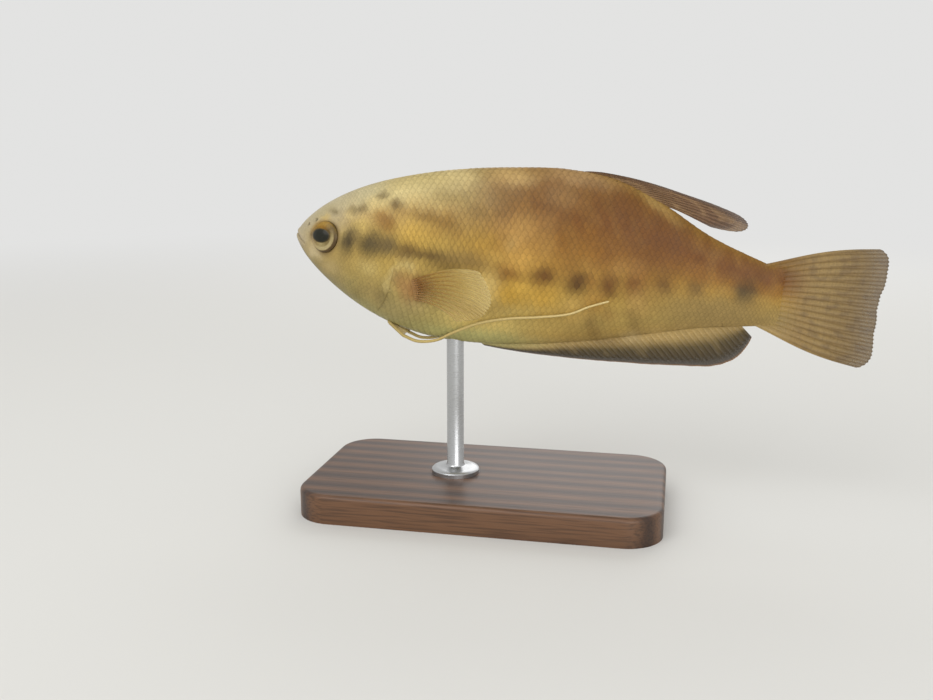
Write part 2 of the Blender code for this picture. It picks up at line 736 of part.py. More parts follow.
def make_base(finish):
    """Board with round corners and an eased top edge."""
    work = bmesh.new()
    bmesh.ops.create_cube(work, size=1.0)
    bmesh.ops.scale(work, vec=(BASE_LENGTH, BASE_WIDTH, BASE_THICKNESS), verts=work.verts)
    bmesh.ops.translate(work, vec=(0.0, 0.0, BASE_THICKNESS / 2), verts=work.verts)
    corners = [e for e in work.edges if abs(e.verts[0].co.z - e.verts[1].co.z) > BASE_THICKNESS / 2]
    bmesh.ops.bevel(work, geom=corners, offset=BASE_CORNER, segments=6, profile=0.5,
                    affect='EDGES')
    top = [e for e in work.edges if all(v.co.z > BASE_THICKNESS * 0.9 for v in e.verts)]
    bmesh.ops.bevel(work, geom=top, offset=BASE_BEVEL, segments=2, profile=0.5, affect='EDGES')
    mesh = bpy.data.meshes.new("stand_base")
    work.to_mesh(mesh)
    work.free()
    mesh.materials.append(finish)
    base = bpy.data.objects.new("stand_base", mesh)
    bpy.context.scene.collection.objects.link(base)
    return base


def build():
    for old in list(bpy.data.objects):
        bpy.data.objects.remove(old, do_unlink=True)

    skin = material("olive_gold_skin", "#A3834A", 0.38)
    fin_skin = material("brown_fin", "#8A6A3C", 0.42)
    eye = material("gold_eye", "#B08A35", 0.12)
    steel = material("brushed_steel", "#B4B6B8", 0.32, 1.0)
    wood = material("dark_oiled_wood", "#4A3322", 0.45)

    make_head(skin)
    make_trunk(skin)
    make_tail_stem(skin)
    make_eye("eye_left", -1, eye)
    make_eye("eye_right", 1, eye)

    fin("dorsal_fin", ray_columns(DORSAL_RAYS, 2), FIN_ROWS, dorsal_middle, straight_across,
        thickness(*DORSAL_THICK), over_back, fin_skin)
    fin("anal_fin", ray_columns(ANAL_RAYS, 2), FIN_ROWS, anal_middle, straight_across,
        thickness(*ANAL_THICK), under_belly, fin_skin)
    fin("caudal_fin", ray_columns(CAUDAL_RAYS, 4), CAUDAL_ROWS, caudal_middle, straight_across,
        caudal_thick, behind_stem, fin_skin)
    pectoral = fin("pectoral_fin_left", ray_columns(PECTORAL_RAYS, 2), FIN_ROWS, pectoral_middle,
                   pectoral_across, thickness(*PECTORAL_THICK), on_flank, fin_skin)
    mirror_copy(pectoral, "pectoral_fin_right")
    pelvic = fin("pelvic_fin_left", ray_columns(PELVIC_RAYS, 2), PELVIC_ROWS, pelvic_middle,
                 pelvic_across, thickness(*PELVIC_THICK), on_flank, fin_skin)
    mirror_copy(pelvic, "pelvic_fin_right")
    for name, side in (("left", -1), ("right", 1)):
        make_thread(f"pelvic_thread_{name}_front", 0.0, THREAD_FRONT_END, side, fin_skin)
        make_thread(f"pelvic_thread_{name}_rear", THREAD_REAR_START, 1.0, side, fin_skin)

    make_base(wood)
    make_rod(steel)


build()
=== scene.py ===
# %% [markdown]
# A snakeskin gourami, life size, finished as a museum model
#
# The solids of the model come packed as a fixed frame. This lesson lays one skin over the
# head, the trunk and the tail stem, covers it with scales, and makes the eyes, the fins, the
# feelers and the stand that show. A fish has no straight line to start from, so most of its
# pieces start as a sphere or a grid whose points are then laid on the sections of the body.

# %% Load the frame
import math
import random

import bmesh
import bpy
import numpy as np
from mathutils import Matrix, Vector, noise


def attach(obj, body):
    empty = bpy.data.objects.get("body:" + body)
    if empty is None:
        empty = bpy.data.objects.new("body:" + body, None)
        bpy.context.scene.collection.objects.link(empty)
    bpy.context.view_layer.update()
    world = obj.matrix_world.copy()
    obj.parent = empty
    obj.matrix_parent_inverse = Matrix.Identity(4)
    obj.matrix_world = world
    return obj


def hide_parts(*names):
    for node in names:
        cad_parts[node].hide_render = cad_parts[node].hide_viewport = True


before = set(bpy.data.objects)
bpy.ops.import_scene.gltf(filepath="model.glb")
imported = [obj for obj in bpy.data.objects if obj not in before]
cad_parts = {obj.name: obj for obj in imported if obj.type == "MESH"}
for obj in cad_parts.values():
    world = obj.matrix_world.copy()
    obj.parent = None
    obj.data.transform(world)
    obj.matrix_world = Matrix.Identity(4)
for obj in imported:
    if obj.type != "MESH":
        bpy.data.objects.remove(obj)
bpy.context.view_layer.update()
bpy.ops.object.select_all(action='DESELECT')
print("nodes:", ", ".join(sorted(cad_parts)))

# %% [markdown]
# The body is a row of sections, from the snout to the root of the tail fin. Each has a top,
# an underside, a half width and the height where it is widest. A smooth curve goes through
# each column, over the square root of the distance, because that spreads out the blunt snout.
# The curves are worked out once into tables, and every piece then reads the same tables.

# %% The body's sections
STANDARD_LENGTH = 0.160                 # metres, snout to the root of the tail fin
PITCH = math.radians(6.0)               # head up
TAIL_FLESH = 0.040                      # the flesh runs this far on between the tail's rays
TAIL_TAPER, TAPER_POWER = 0.86, 1.2     # and grows this much thinner there

# shares of the length: distance from the snout, top, underside, half width, widest level
BODY_STATIONS = [
    (0.000, 0.002, -0.002, 0.000, 0.000),
    (0.010, 0.026, -0.024, 0.017, 0.001),
    (0.030, 0.049, -0.048, 0.032, 0.000),
    (0.060, 0.075, -0.075, 0.045, -0.002),
    (0.100, 0.101, -0.104, 0.056, -0.006),
    (0.160, 0.130, -0.138, 0.067, -0.016),
    (0.240, 0.157, -0.168, 0.076, -0.026),
    (0.340, 0.181, -0.184, 0.078, -0.034),
    (0.460, 0.199, -0.180, 0.071, -0.029),
    (0.580, 0.208, -0.162, 0.060, -0.020),
    (0.680, 0.198, -0.140, 0.049, -0.011),
    (0.780, 0.160, -0.113, 0.037, -0.004),
    (0.880, 0.108, -0.086, 0.026, 0.000),
    (1.000, 0.066, -0.064, 0.013, 0.000),
]
BACK_ROUNDNESS = 1.8
BELLY_ROUNDNESS = 1.9


def smooth_table(points, steps=1500):
    """The smooth curve through (place, value) points, as a function of an array of places."""
    places, values = np.array(points, dtype=float).T
    slopes = np.gradient(values, places)
    at = np.linspace(places[0], places[-1], steps)
    i = np.clip(np.searchsorted(places, at) - 1, 0, len(places) - 2)
    span = places[i + 1] - places[i]
    t = (at - places[i]) / span
    table = ((2 * t ** 3 - 3 * t ** 2 + 1) * values[i] + (3 * t ** 2 - 2 * t ** 3) * values[i + 1]
             + ((t ** 3 - 2 * t ** 2 + t) * slopes[i] + (t ** 3 - t ** 2) * slopes[i + 1]) * span)
    return lambda place: np.interp(place, at, table)


def station_table(column):
    return smooth_table([(math.sqrt(row[0]), row[column]) for row in BODY_STATIONS])


TOP, BOTTOM, HALF_WIDTH, WIDEST = (station_table(column) for column in (1, 2, 3, 4))


def section(share):
    """Top, bottom, half width and widest level, in metres, at an array of stations."""
    root = np.sqrt(np.clip(share, 0.0, 1.0))
    top, bottom, half_width, widest = (table(root) for table in (TOP, BOTTOM, HALF_WIDTH, WIDEST))
    past = np.clip((np.asarray(share) - 1.0) / TAIL_FLESH, 0.0, 1.0)
    half_width = half_width * (1.0 - TAIL_TAPER * past ** TAPER_POWER)
    return [value * STANDARD_LENGTH for value in (top, bottom, half_width, widest)]


print("deepest section:", round(float((TOP(0.7) - BOTTOM(0.7)) * STANDARD_LENGTH), 4), "m")


# %% Points on the body
def signed_power(value, exponent):
    return np.sign(value) * np.abs(value) ** exponent


def body_points(share, angle):
    """Points on the body; the angle runs from the back (0) down the left side to the belly."""
    share, angle = np.broadcast_arrays(np.asarray(share, float), np.asarray(angle, float))
    top, bottom, half_width, widest = section(share)
    rise, side = np.cos(angle), np.sin(angle)
    over = rise > 0
    height = np.where(over, top - widest, widest - bottom)
    power = np.where(over, 2.0 / BACK_ROUNDNESS, 2.0 / BELLY_ROUNDNESS)
    y = -half_width * signed_power(side, power)
    z = widest + height * signed_power(rise, power)
    return np.stack([share * STANDARD_LENGTH, y, z], axis=-1)


def unit(vectors):
    return vectors / np.maximum(np.linalg.norm(vectors, axis=-1, keepdims=True), 1e-12)


def outward(share, angle):
    """Unit vectors out of the skin."""
    share = np.clip(share, 0.004, 1.0 + TAIL_FLESH)
    along = body_points(share + 0.002, angle) - body_points(share - 0.002, angle)
    around = body_points(share, angle + 0.01) - body_points(share, angle - 0.01)
    return unit(np.cross(around, along))


def flank(x, z):
    """Half width of the body at a place along it and a height."""
    top, bottom, half_width, widest = section(x / STANDARD_LENGTH)
    over = z > widest
    reach = np.where(over, (z - widest) / (top - widest), (widest - z) / (widest - bottom))
    power = np.where(over, BACK_ROUNDNESS, BELLY_ROUNDNESS)
    return half_width * np.clip(1.0 - np.clip(reach, 0, 1) ** power, 0, 1) ** (1.0 / power)


def ridge_height(x, y, below):
    """Height of the skin over (or under) a place near the middle of the body."""
    top, bottom, half_width, widest = section(x / STANDARD_LENGTH)
    roundness = BELLY_ROUNDNESS if below else BACK_ROUNDNESS
    share = np.clip(1.0 - (np.abs(y) / half_width) ** roundness, 0, 1) ** (1.0 / roundness)
    return widest - (widest - bottom) * share if below else widest + (top - widest) * share


def side_angle(share, level):
    """Angle at which the left side has this level (a share of the length)."""
    low, high = 0.0, math.pi
    for _ in range(40):
        middle = (low + high) / 2
        if body_points(share, middle)[2] > level * STANDARD_LENGTH:
            low = middle
        else:
            high = middle
    return low


# %% [markdown]
# On the stand the fish is pitched up a little and lifted over the rod. One matrix does that,
# and every piece of the fish goes through it once, so finished objects stay at the origin.

# %% The fish on its stand
ROD_STATION = 0.378
ROD_PLACE = -0.012
BELLY_HEIGHT = 0.058

belly = Vector((ROD_STATION * STANDARD_LENGTH, 0.0,
                float(ridge_height(ROD_STATION * STANDARD_LENGTH, 0.0, below=True))))
turn = Matrix.Rotation(PITCH, 4, 'Y')
FISH = Matrix.Translation(Vector((ROD_PLACE, 0.0, BELLY_HEIGHT)) - turn @ belly) @ turn
FISH_TURN = np.array(FISH.to_3x3())
FISH_PLACE = np.array(FISH.translation)


def on_stand(points):
    """From the fish's own frame to the shared one."""
    return points @ FISH_TURN.T + FISH_PLACE


print("snout at", [round(v, 4) for v in FISH.translation])

# %% [markdown]
# The camera stands where the photograph was taken from: a little ahead of the fish's left
# side and a little above it, near enough that the far end of the body is drawn smaller.
# Its lens is worked out from the frame of 933 by 700 pixels.

# %% Camera
CAMERA_AZIMUTH = math.radians(12.0)
CAMERA_ELEVATION = math.radians(12.0)
CAMERA_FROM_SNOUT = Vector((0.13206, -0.33403, 0.03355))
FRAME_WIDTH = 933
FOCAL_PIXELS = 1000
SENSOR = 36.0

camera_data = bpy.data.cameras.new("photo_camera")
camera_data.sensor_width = SENSOR
camera_data.lens = FOCAL_PIXELS / FRAME_WIDTH * SENSOR
camera = bpy.data.objects.new("photo_camera", camera_data)
bpy.context.scene.collection.objects.link(camera)
camera.location = FISH.translation + CAMERA_FROM_SNOUT
looking = Vector((-math.sin(CAMERA_AZIMUTH) * math.cos(CAMERA_ELEVATION),
                  math.cos(CAMERA_AZIMUTH) * math.cos(CAMERA_ELEVATION),
                  -math.sin(CAMERA_ELEVATION)))
camera.rotation_euler = looking.to_track_quat('-Z', 'Y').to_euler()
bpy.context.scene.camera = camera
print("camera at", [round(v, 3) for v in camera.location], "lens", round(camera_data.lens, 2))

# %% [markdown]
# Colours are written as sRGB hex values, as a paint chart gives them, and one function turns
# them to the linear values that Blender works in. One small function adds a node, sets its
# inputs and links it, so that each material below reads as a short list.


# %% Colours and nodes
def linear(hex_colour):
    """Linear red, green and blue from an sRGB hex value."""
    parts = np.array([int(hex_colour[i:i + 2], 16) / 255 for i in (1, 3, 5)])
    return np.where(parts <= 0.04045, parts / 12.92, ((parts + 0.055) / 1.055) ** 2.4)


def rgba(hex_colour):
    return (*linear(hex_colour), 1.0)


def set_inputs(tree, node, **inputs):
    """Set inputs by name, or by number as _0; a value is a number, a colour or an output."""
    for name, value in inputs.items():
        socket = node.inputs[int(name[1:]) if name[1:].isdigit() else name.replace("_", " ")]
        if isinstance(value, bpy.types.NodeSocket):
            tree.links.new(value, socket)
        else:
            socket.default_value = value


def add_node(tree, kind, settings=None, **inputs):
    """Add a node with its settings and inputs."""
    made = tree.nodes.new(kind)
    for name, value in (settings or {}).items():
        setattr(made, name, value)
    set_inputs(tree, made, **inputs)
    return made


def object_place(tree):
    return add_node(tree, "ShaderNodeTexCoord").outputs["Object"]


def noise_of(tree, place, size, detail=2.0):
    """Noise whose features are about this size, in metres."""
    made = add_node(tree, "ShaderNodeTexNoise", Vector=place, Scale=1.0 / size, Detail=detail)
    return made.outputs["Fac"]


def ranged(tree, value, spread, result):
    """Carry a value from one range to another."""
    return add_node(tree, "ShaderNodeMapRange", Value=value, From_Min=spread[0], From_Max=spread[1],
                    To_Min=result[0], To_Max=result[1]).outputs["Result"]


def multiplied(tree, a, b):
    return add_node(tree, "ShaderNodeMath", {"operation": 'MULTIPLY'}, _0=a, _1=b).outputs["Value"]


def shaded(tree, colour, shade):
    made = add_node(tree, "ShaderNodeVectorMath", {"operation": 'SCALE'}, _0=colour, Scale=shade)
    return made.outputs["Vector"]


def bumped(tree, height, strength, distance):
    made = add_node(tree, "ShaderNodeBump", Height=height, Strength=strength, Distance=distance)
    return made.outputs["Normal"]


def stored(tree, name, output="Color"):
    """What paint and store, below, have laid on the points of a piece."""
    return add_node(tree, "ShaderNodeAttribute", {"attribute_name": name}).outputs[output]


def new_material(name):
    made = bpy.data.materials.new(name)
    made.use_nodes = True
    tree = made.node_tree
    return made, tree, tree.nodes["Principled BSDF"]


# %% [markdown]
# Every organic piece starts as a UV sphere or a flat grid, whose own UV map says how far along
# and how far round each point lies. The points are then set in code from those two numbers.
# Pushing 90,000 points by hand would take a week, and this keeps them exactly on the sections.


# %% Shaped spheres and grids
def vertex_places(mesh):
    """Each point's u and v, read from the primitive's own UV map."""
    corners = np.empty(len(mesh.loops), dtype=int)
    mesh.loops.foreach_get("vertex_index", corners)
    flat = np.empty(len(mesh.loops) * 2)
    mesh.uv_layers.active.data.foreach_get("uv", flat)
    places = np.zeros((len(mesh.vertices), 2))
    places[corners] = flat.reshape(-1, 2)
    return places[:, 0], places[:, 1]


def name_new(name):
    """Name the primitive that was just added."""
    piece = bpy.context.object
    piece.name = piece.data.name = name
    return piece


def set_points(piece, points):
    piece.data.vertices.foreach_set("co", np.ascontiguousarray(points, dtype=np.float32).ravel())
    piece.data.update()


def to_mode(mode):
    bpy.ops.object.mode_set(mode=mode)


def pick(piece):
    """Select one piece alone."""
    bpy.ops.object.select_all(action='DESELECT')
    bpy.context.view_layer.objects.active = piece
    piece.select_set(True)


def shade_piece(piece, fold=None):
    """Shade the faces smooth, apart from folds sharper than an angle."""
    pick(piece)
    bpy.ops.object.shade_smooth()
    if fold is not None:
        bpy.ops.object.shade_smooth_by_angle(angle=fold)
    bpy.ops.object.select_all(action='DESELECT')


def signed_volume(mesh):
    """Volume inside a closed mesh, below zero where its faces point inwards."""
    shell = bmesh.new()
    shell.from_mesh(mesh)
    volume = shell.calc_volume(signed=True)
    shell.free()
    return volume


def face_outwards(piece, fold=None):
    """Turn the faces of one closed shell outwards and shade it."""
    pick(piece)
    to_mode('EDIT')
    bpy.ops.mesh.select_all(action='SELECT')
    bpy.ops.mesh.normals_make_consistent(inside=False)
    to_mode('OBJECT')
    # the operator trusts the farthest face, and on the skin that one lies in the pinched lower
    # edge of the tail stem and points the wrong way, so the volume has the last word
    if signed_volume(piece.data) < 0.0:
        piece.data.flip_normals()
    shade_piece(piece, fold)


def sphere_to_shape(name, segments, rings):
    """New sphere, with the share round (0 to 1) and along (0 to 1) of each point."""
    bpy.ops.mesh.primitive_uv_sphere_add(segments=segments, ring_count=rings, radius=1.0)
    piece = name_new(name)
    around, along = vertex_places(piece.data)
    return piece, around, along


def paint(piece, colours):
    """Lay linear colours on the points of a piece."""
    layer = piece.data.color_attributes.new(name="markings", type='FLOAT_COLOR', domain='POINT')
    full = np.ones((len(piece.data.vertices), 4), dtype=np.float32)
    full[:, :3] = colours
    layer.data.foreach_set("color", full.ravel())


def store(piece, values, name):
    """Lay one number on each point of a piece."""
    layer = piece.data.attributes.new(name=name, type='FLOAT', domain='POINT')
    layer.data.foreach_set("value", np.asarray(values, dtype=np.float32))


def finish_piece(piece, nodes, finish):
    """Give a piece its finish, and say which nodes it stands for."""
    piece.data.materials.append(finish)
    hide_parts(*nodes)
    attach(piece, "root")
    print(piece.name, len(piece.data.polygons), "faces")


def lumps(x, y, size, seed):
    """Soft random field of the given feature size over two arrays, -1 to 1."""
    return np.array([noise.noise((a / size, b / size, seed)) for a, b in zip(x.ravel(), y.ravel())]
                    ).reshape(x.shape)


def ease(value):
    """Smooth step from 0 to 1."""
    value = np.clip(value, 0.0, 1.0)
    return value * value * (3.0 - 2.0 * value)


def lerp(a, b, t):
    return a + (b - a) * t


# %% [markdown]
# The gill opening runs furthest back on the cheek and forward under the throat. Rings of the
# skin follow it, so the step down from the gill cover stays crisp. The rings lie close at the
# snout, the eye and the gill, where the shapes are small, and wide along the scaled trunk.

# %% Rings of the skin
GILL_NAPE = 0.205
GILL_SIDE = 0.045
GILL_THROAT = -0.030
GILL_AT_SIDE = GILL_NAPE + GILL_SIDE
MM = 0.001
GILL_MM = GILL_AT_SIDE * STANDARD_LENGTH / MM
END_MM = (1.0 + TAIL_FLESH) * STANDARD_LENGTH / MM
SKIN_SEGMENTS = 264

# millimetres back from the snout along the side, and the spacing of the rings there
RING_SPACING = [(0, 0.06), (1.5, 0.14), (6, 0.20), (20, 0.24), (34, 0.30), (39.2, 0.14),
                (41, 0.14), (44, 0.40), (60, 0.95), (148, 0.95), (158, 0.60), (168, 0.30)]


def gill_line(angle):
    """Station of the gill opening at each angle round the body."""
    side = np.clip(np.sin(np.abs(angle) * 0.93), 0.0, None) ** 1.5
    under = (1.0 - np.cos(angle)) / 2.0
    return GILL_NAPE + GILL_SIDE * side + GILL_THROAT * under ** 3


def ring_places():
    """Where the rings lie along the side, in millimetres, with one exactly on the gill line."""
    places = [0.0]
    spots, gaps = zip(*RING_SPACING)
    while places[-1] < END_MM:
        places.append(places[-1] + float(np.interp(places[-1], spots, gaps)))
    places = np.array(places[:-1])
    first = int(np.argmin(np.abs(places - GILL_MM)))
    head = places[:first + 1] / places[first] * GILL_MM
    past = (places[first:] - places[first]) / (places[-1] - places[first])
    trunk = GILL_MM + past * (END_MM - GILL_MM)
    return np.concatenate([head, trunk[1:]])


RINGS = ring_places()
print("rings:", len(RINGS), "segments:", SKIN_SEGMENTS)

# %% [markdown]
# The head carries what the eye of a visitor goes to first: the small upturned mouth with its
# lips, two nostrils a side, the rim of the eye socket, the crease of the cheek bone and the
# edge of the gill cover. Each is a small rise or groove over the smooth body, written as a
# depth in millimetres that fades with distance, as a modeller would press it into clay.

# %% Relief of the head
EYE_STATION, EYE_LEVEL, EYE_RADIUS = 0.079, 0.010, 0.0053
EYE_REACH = 3.7                         # the rings round the eye end this many mm outside it
MOUTH_SLOPE = math.radians(38.0)
MOUTH_LEVEL, MOUTH_LENGTH, MOUTH_FADE = 0.0012, 0.0070, 0.0030
LIP_APART = 0.9                         # mm from the cut of the mouth
NOSTRILS = [(0.034, 0.030, 0.55), (0.052, 0.042, 0.65)]     # station, level, radius in mm
CHEEK_CREASE = [(0.158, 0.040), (0.168, 0.000), (0.168, -0.040), (0.155, -0.075),
                (0.125, -0.096), (0.085, -0.090)]
JAW_CREASE = [(0.030, -0.022), (0.048, -0.040), (0.070, -0.052), (0.090, -0.052)]
COVER_STEP, COVER_LENGTH = 0.25, 8.0    # the gill cover rises by this over its last mm
COVER_TOP, COVER_LEFT = -0.050, 0.04    # over this level little of the step is left
PECTORAL_PAD = (0.289, -0.077)
SKIN_DEPTH = 0.00015                    # the skin lies this far inside the solids


def seat(station, level, side):
    """Point on the skin with its outward direction, on the left (-1) or right (1)."""
    angle = side_angle(station, level)
    point, out = body_points(station, angle), outward(station, angle)
    return point * (1, -side, 1), out * (1, -side, 1)


def line_distance(points, line):
    """Millimetres from (x, z) of each point to a line of (station, level) corners."""
    spot = points[:, [0, 2]]
    corners = np.array(line) * STANDARD_LENGTH
    nearest = np.full(len(points), 1.0)
    for a, b in zip(corners, corners[1:]):
        way = b - a
        t = np.clip(((spot - a) @ way) / (way @ way), 0.0, 1.0)
        nearest = np.minimum(nearest, np.linalg.norm(spot - a - t[:, None] * way, axis=1))
    return nearest / MM


def bell(distance, width):
    return np.exp(-(distance / width) ** 2)


def form(distance, height, width):
    """A rounded rise or groove, measured in millimetres; the result is in metres."""
    return height * MM * bell(distance, width)


def mouth_places(points):
    """Millimetres over the cut of the mouth, and how far each point belongs to the mouth."""
    x, z = points[:, 0], points[:, 2] - MOUTH_LEVEL
    back = x * math.cos(MOUTH_SLOPE) - z * math.sin(MOUTH_SLOPE)
    over = x * math.sin(MOUTH_SLOPE) + z * math.cos(MOUTH_SLOPE)
    return over / MM, ease((MOUTH_LENGTH - back) / MOUTH_FADE)


def eye_places(points, side):
    """Millimetres outside the eye's edge, degrees round it from ahead over the top, and
    whether a point is on the eye's side."""
    middle, out = seat(EYE_STATION, EYE_LEVEL, side)
    apart = points - middle
    flat = np.linalg.norm(apart - (apart @ out)[:, None] * out, axis=1)
    turn = np.degrees(np.arctan2(apart[:, 2], -apart[:, 0]))
    return (flat - EYE_RADIUS) / MM, turn, points[:, 1] * side > 0


def nostril_distance(points, station, level, side):
    return np.linalg.norm(points - seat(station, level, side)[0], axis=1) / MM


def relief(points, angle, ring_mm):
    """Height of the skin over the smooth body, in metres."""
    x, z = points[:, 0], points[:, 2]
    cheek = np.clip(np.sin(np.abs(angle)), 0.0, None)
    over, mouth = mouth_places(points)
    rise = mouth * (form(over - LIP_APART, height=0.24, width=0.80)
                    + form(over + LIP_APART, height=0.252, width=0.80)
                    + form(over, height=-0.60, width=0.26))

    for side in (-1, 1):
        for station, level, radius in NOSTRILS:
            away = nostril_distance(points, station, level, side)
            rise += form(away, height=-0.75, width=0.8 * radius)
            rise += form(away - 1.45 * radius, height=0.20, width=0.5 * radius)
        outside, _, own_side = eye_places(points, side)
        socket = -2.3 * MM * ease((0.20 - outside) / 0.75)
        rings = form(outside - 0.8, height=0.10, width=0.6) \
            + form(outside - 2.1, height=-0.08, width=0.7)
        rise += np.where(own_side & (outside < EYE_REACH), socket + rings, 0.0)

    crease = line_distance(points, CHEEK_CREASE)
    creases = form(crease, height=-0.12, width=1.5) + form(crease - 3.0, height=0.06, width=1.4) \
        + form(line_distance(points, JAW_CREASE), height=-0.10, width=0.6)
    rise += cheek * creases

    behind = ring_mm - GILL_MM
    high = ease((z / STANDARD_LENGTH - COVER_TOP) / -COVER_TOP)
    step = COVER_STEP * MM * ease((behind + COVER_LENGTH) / COVER_LENGTH)
    groove = form(behind - 0.3, height=-0.14, width=0.9)
    rise += cheek * lerp(1.0, COVER_LEFT, high) * np.where(behind <= 0, step, groove)

    station, level = (value * STANDARD_LENGTH for value in PECTORAL_PAD)
    pad = form((x - station) / MM, height=0.40, width=2.8) * bell((z - level) / MM, 4.6)
    return rise + pad * (behind > 0) * cheek


# %% Skin
def skin_station(ring_mm, angle):
    """Station of a point of the skin; the rings bend with the gill line."""
    gill = gill_line(angle)
    back = (ring_mm - GILL_MM) / (STANDARD_LENGTH / MM - GILL_MM)
    return np.where(ring_mm <= GILL_MM, gill * ring_mm / GILL_MM, gill * (1 - back) + back)


def ring_at(along):
    """Millimetres from the snout at a share along the sphere."""
    return np.interp(along * (len(RINGS) - 1), np.arange(len(RINGS)), RINGS)


skin, around, along = sphere_to_shape("skin", SKIN_SEGMENTS, len(RINGS) - 1)
skin_ring = ring_at(along)
skin_angle = (around - 0.5) * 2.0 * math.pi
skin_share = skin_station(skin_ring, skin_angle)
smooth_skin = body_points(skin_share, skin_angle)
smooth_skin[skin_ring <= 0.0] = (0.0, 0.0, 0.0)
smooth_skin[along >= 1.0] = (END_MM * MM, 0.0, 0.0)
skin_rise = relief(smooth_skin, skin_angle, skin_ring)
skin_points = smooth_skin + outward(skin_share, skin_angle) * (skin_rise - SKIN_DEPTH)[:, None]
set_points(skin, on_stand(skin_points))
face_outwards(skin)

skin_map = skin.data.uv_layers.active
skin_map.name = "OFBake"
flat_map = np.empty(len(skin.data.loops) * 2)
skin_map.data.foreach_get("uv", flat_map)
flat_map[1::2] = ring_at(flat_map[1::2]) * MM / STANDARD_LENGTH
skin_map.data.foreach_set("uv", flat_map)
print("skin:", len(skin.data.vertices), "points")

# %% [markdown]
# Colour. The living fish is olive gold, pale on the forehead and nape and brown over the rear
# of the back, and part of the pale on top of the head and the front half is painted light
# from above. A broken dark band runs from the eye along the middle of the flank, with a
# diffuse grey stretch behind the gill and five or six brown blotches after it, and a round
# spot closes it at the root of the tail fin. Gold patches lie above and below the band.
# Painted light lightens the underside, and a few marks are painted shade: round the eye,
# behind the gill cover and under the pectoral fin.
# The colours are worked out for a station and a level on the body, so the skin and the scales
# ask the same function and carry the same markings. A little noise frays every edge.

# %% Colour of the body
# heights from the belly (0) to the back (1); part of the pale near the top of the head and of
# the front half is painted light from above
HEAD_TONES = [(0.00, "#948866"), (0.25, "#A28E60"), (0.45, "#AE9560"), (0.62, "#B29E76"),
              (0.80, "#B4A894"), (1.00, "#BEB4A0")]
FRONT_TONES = [(0.00, "#B0A874"), (0.08, "#A89C68"), (0.24, "#AA965C"), (0.42, "#B69A56"),
               (0.60, "#BA9A4E"), (0.76, "#C2A468"), (0.90, "#D2C090"), (1.00, "#BCAA7A")]
# the lowest rear tones are lighter as painted light, against the shade on the underside
REAR_TONES = [(0.00, "#B89C68"), (0.06, "#AC9058"), (0.13, "#A88F54"), (0.28, "#B2934C"),
              (0.44, "#B28A3C"), (0.56, "#936520"), (0.74, "#72440C"), (0.92, "#764C14"),
              (1.00, "#86642A")]

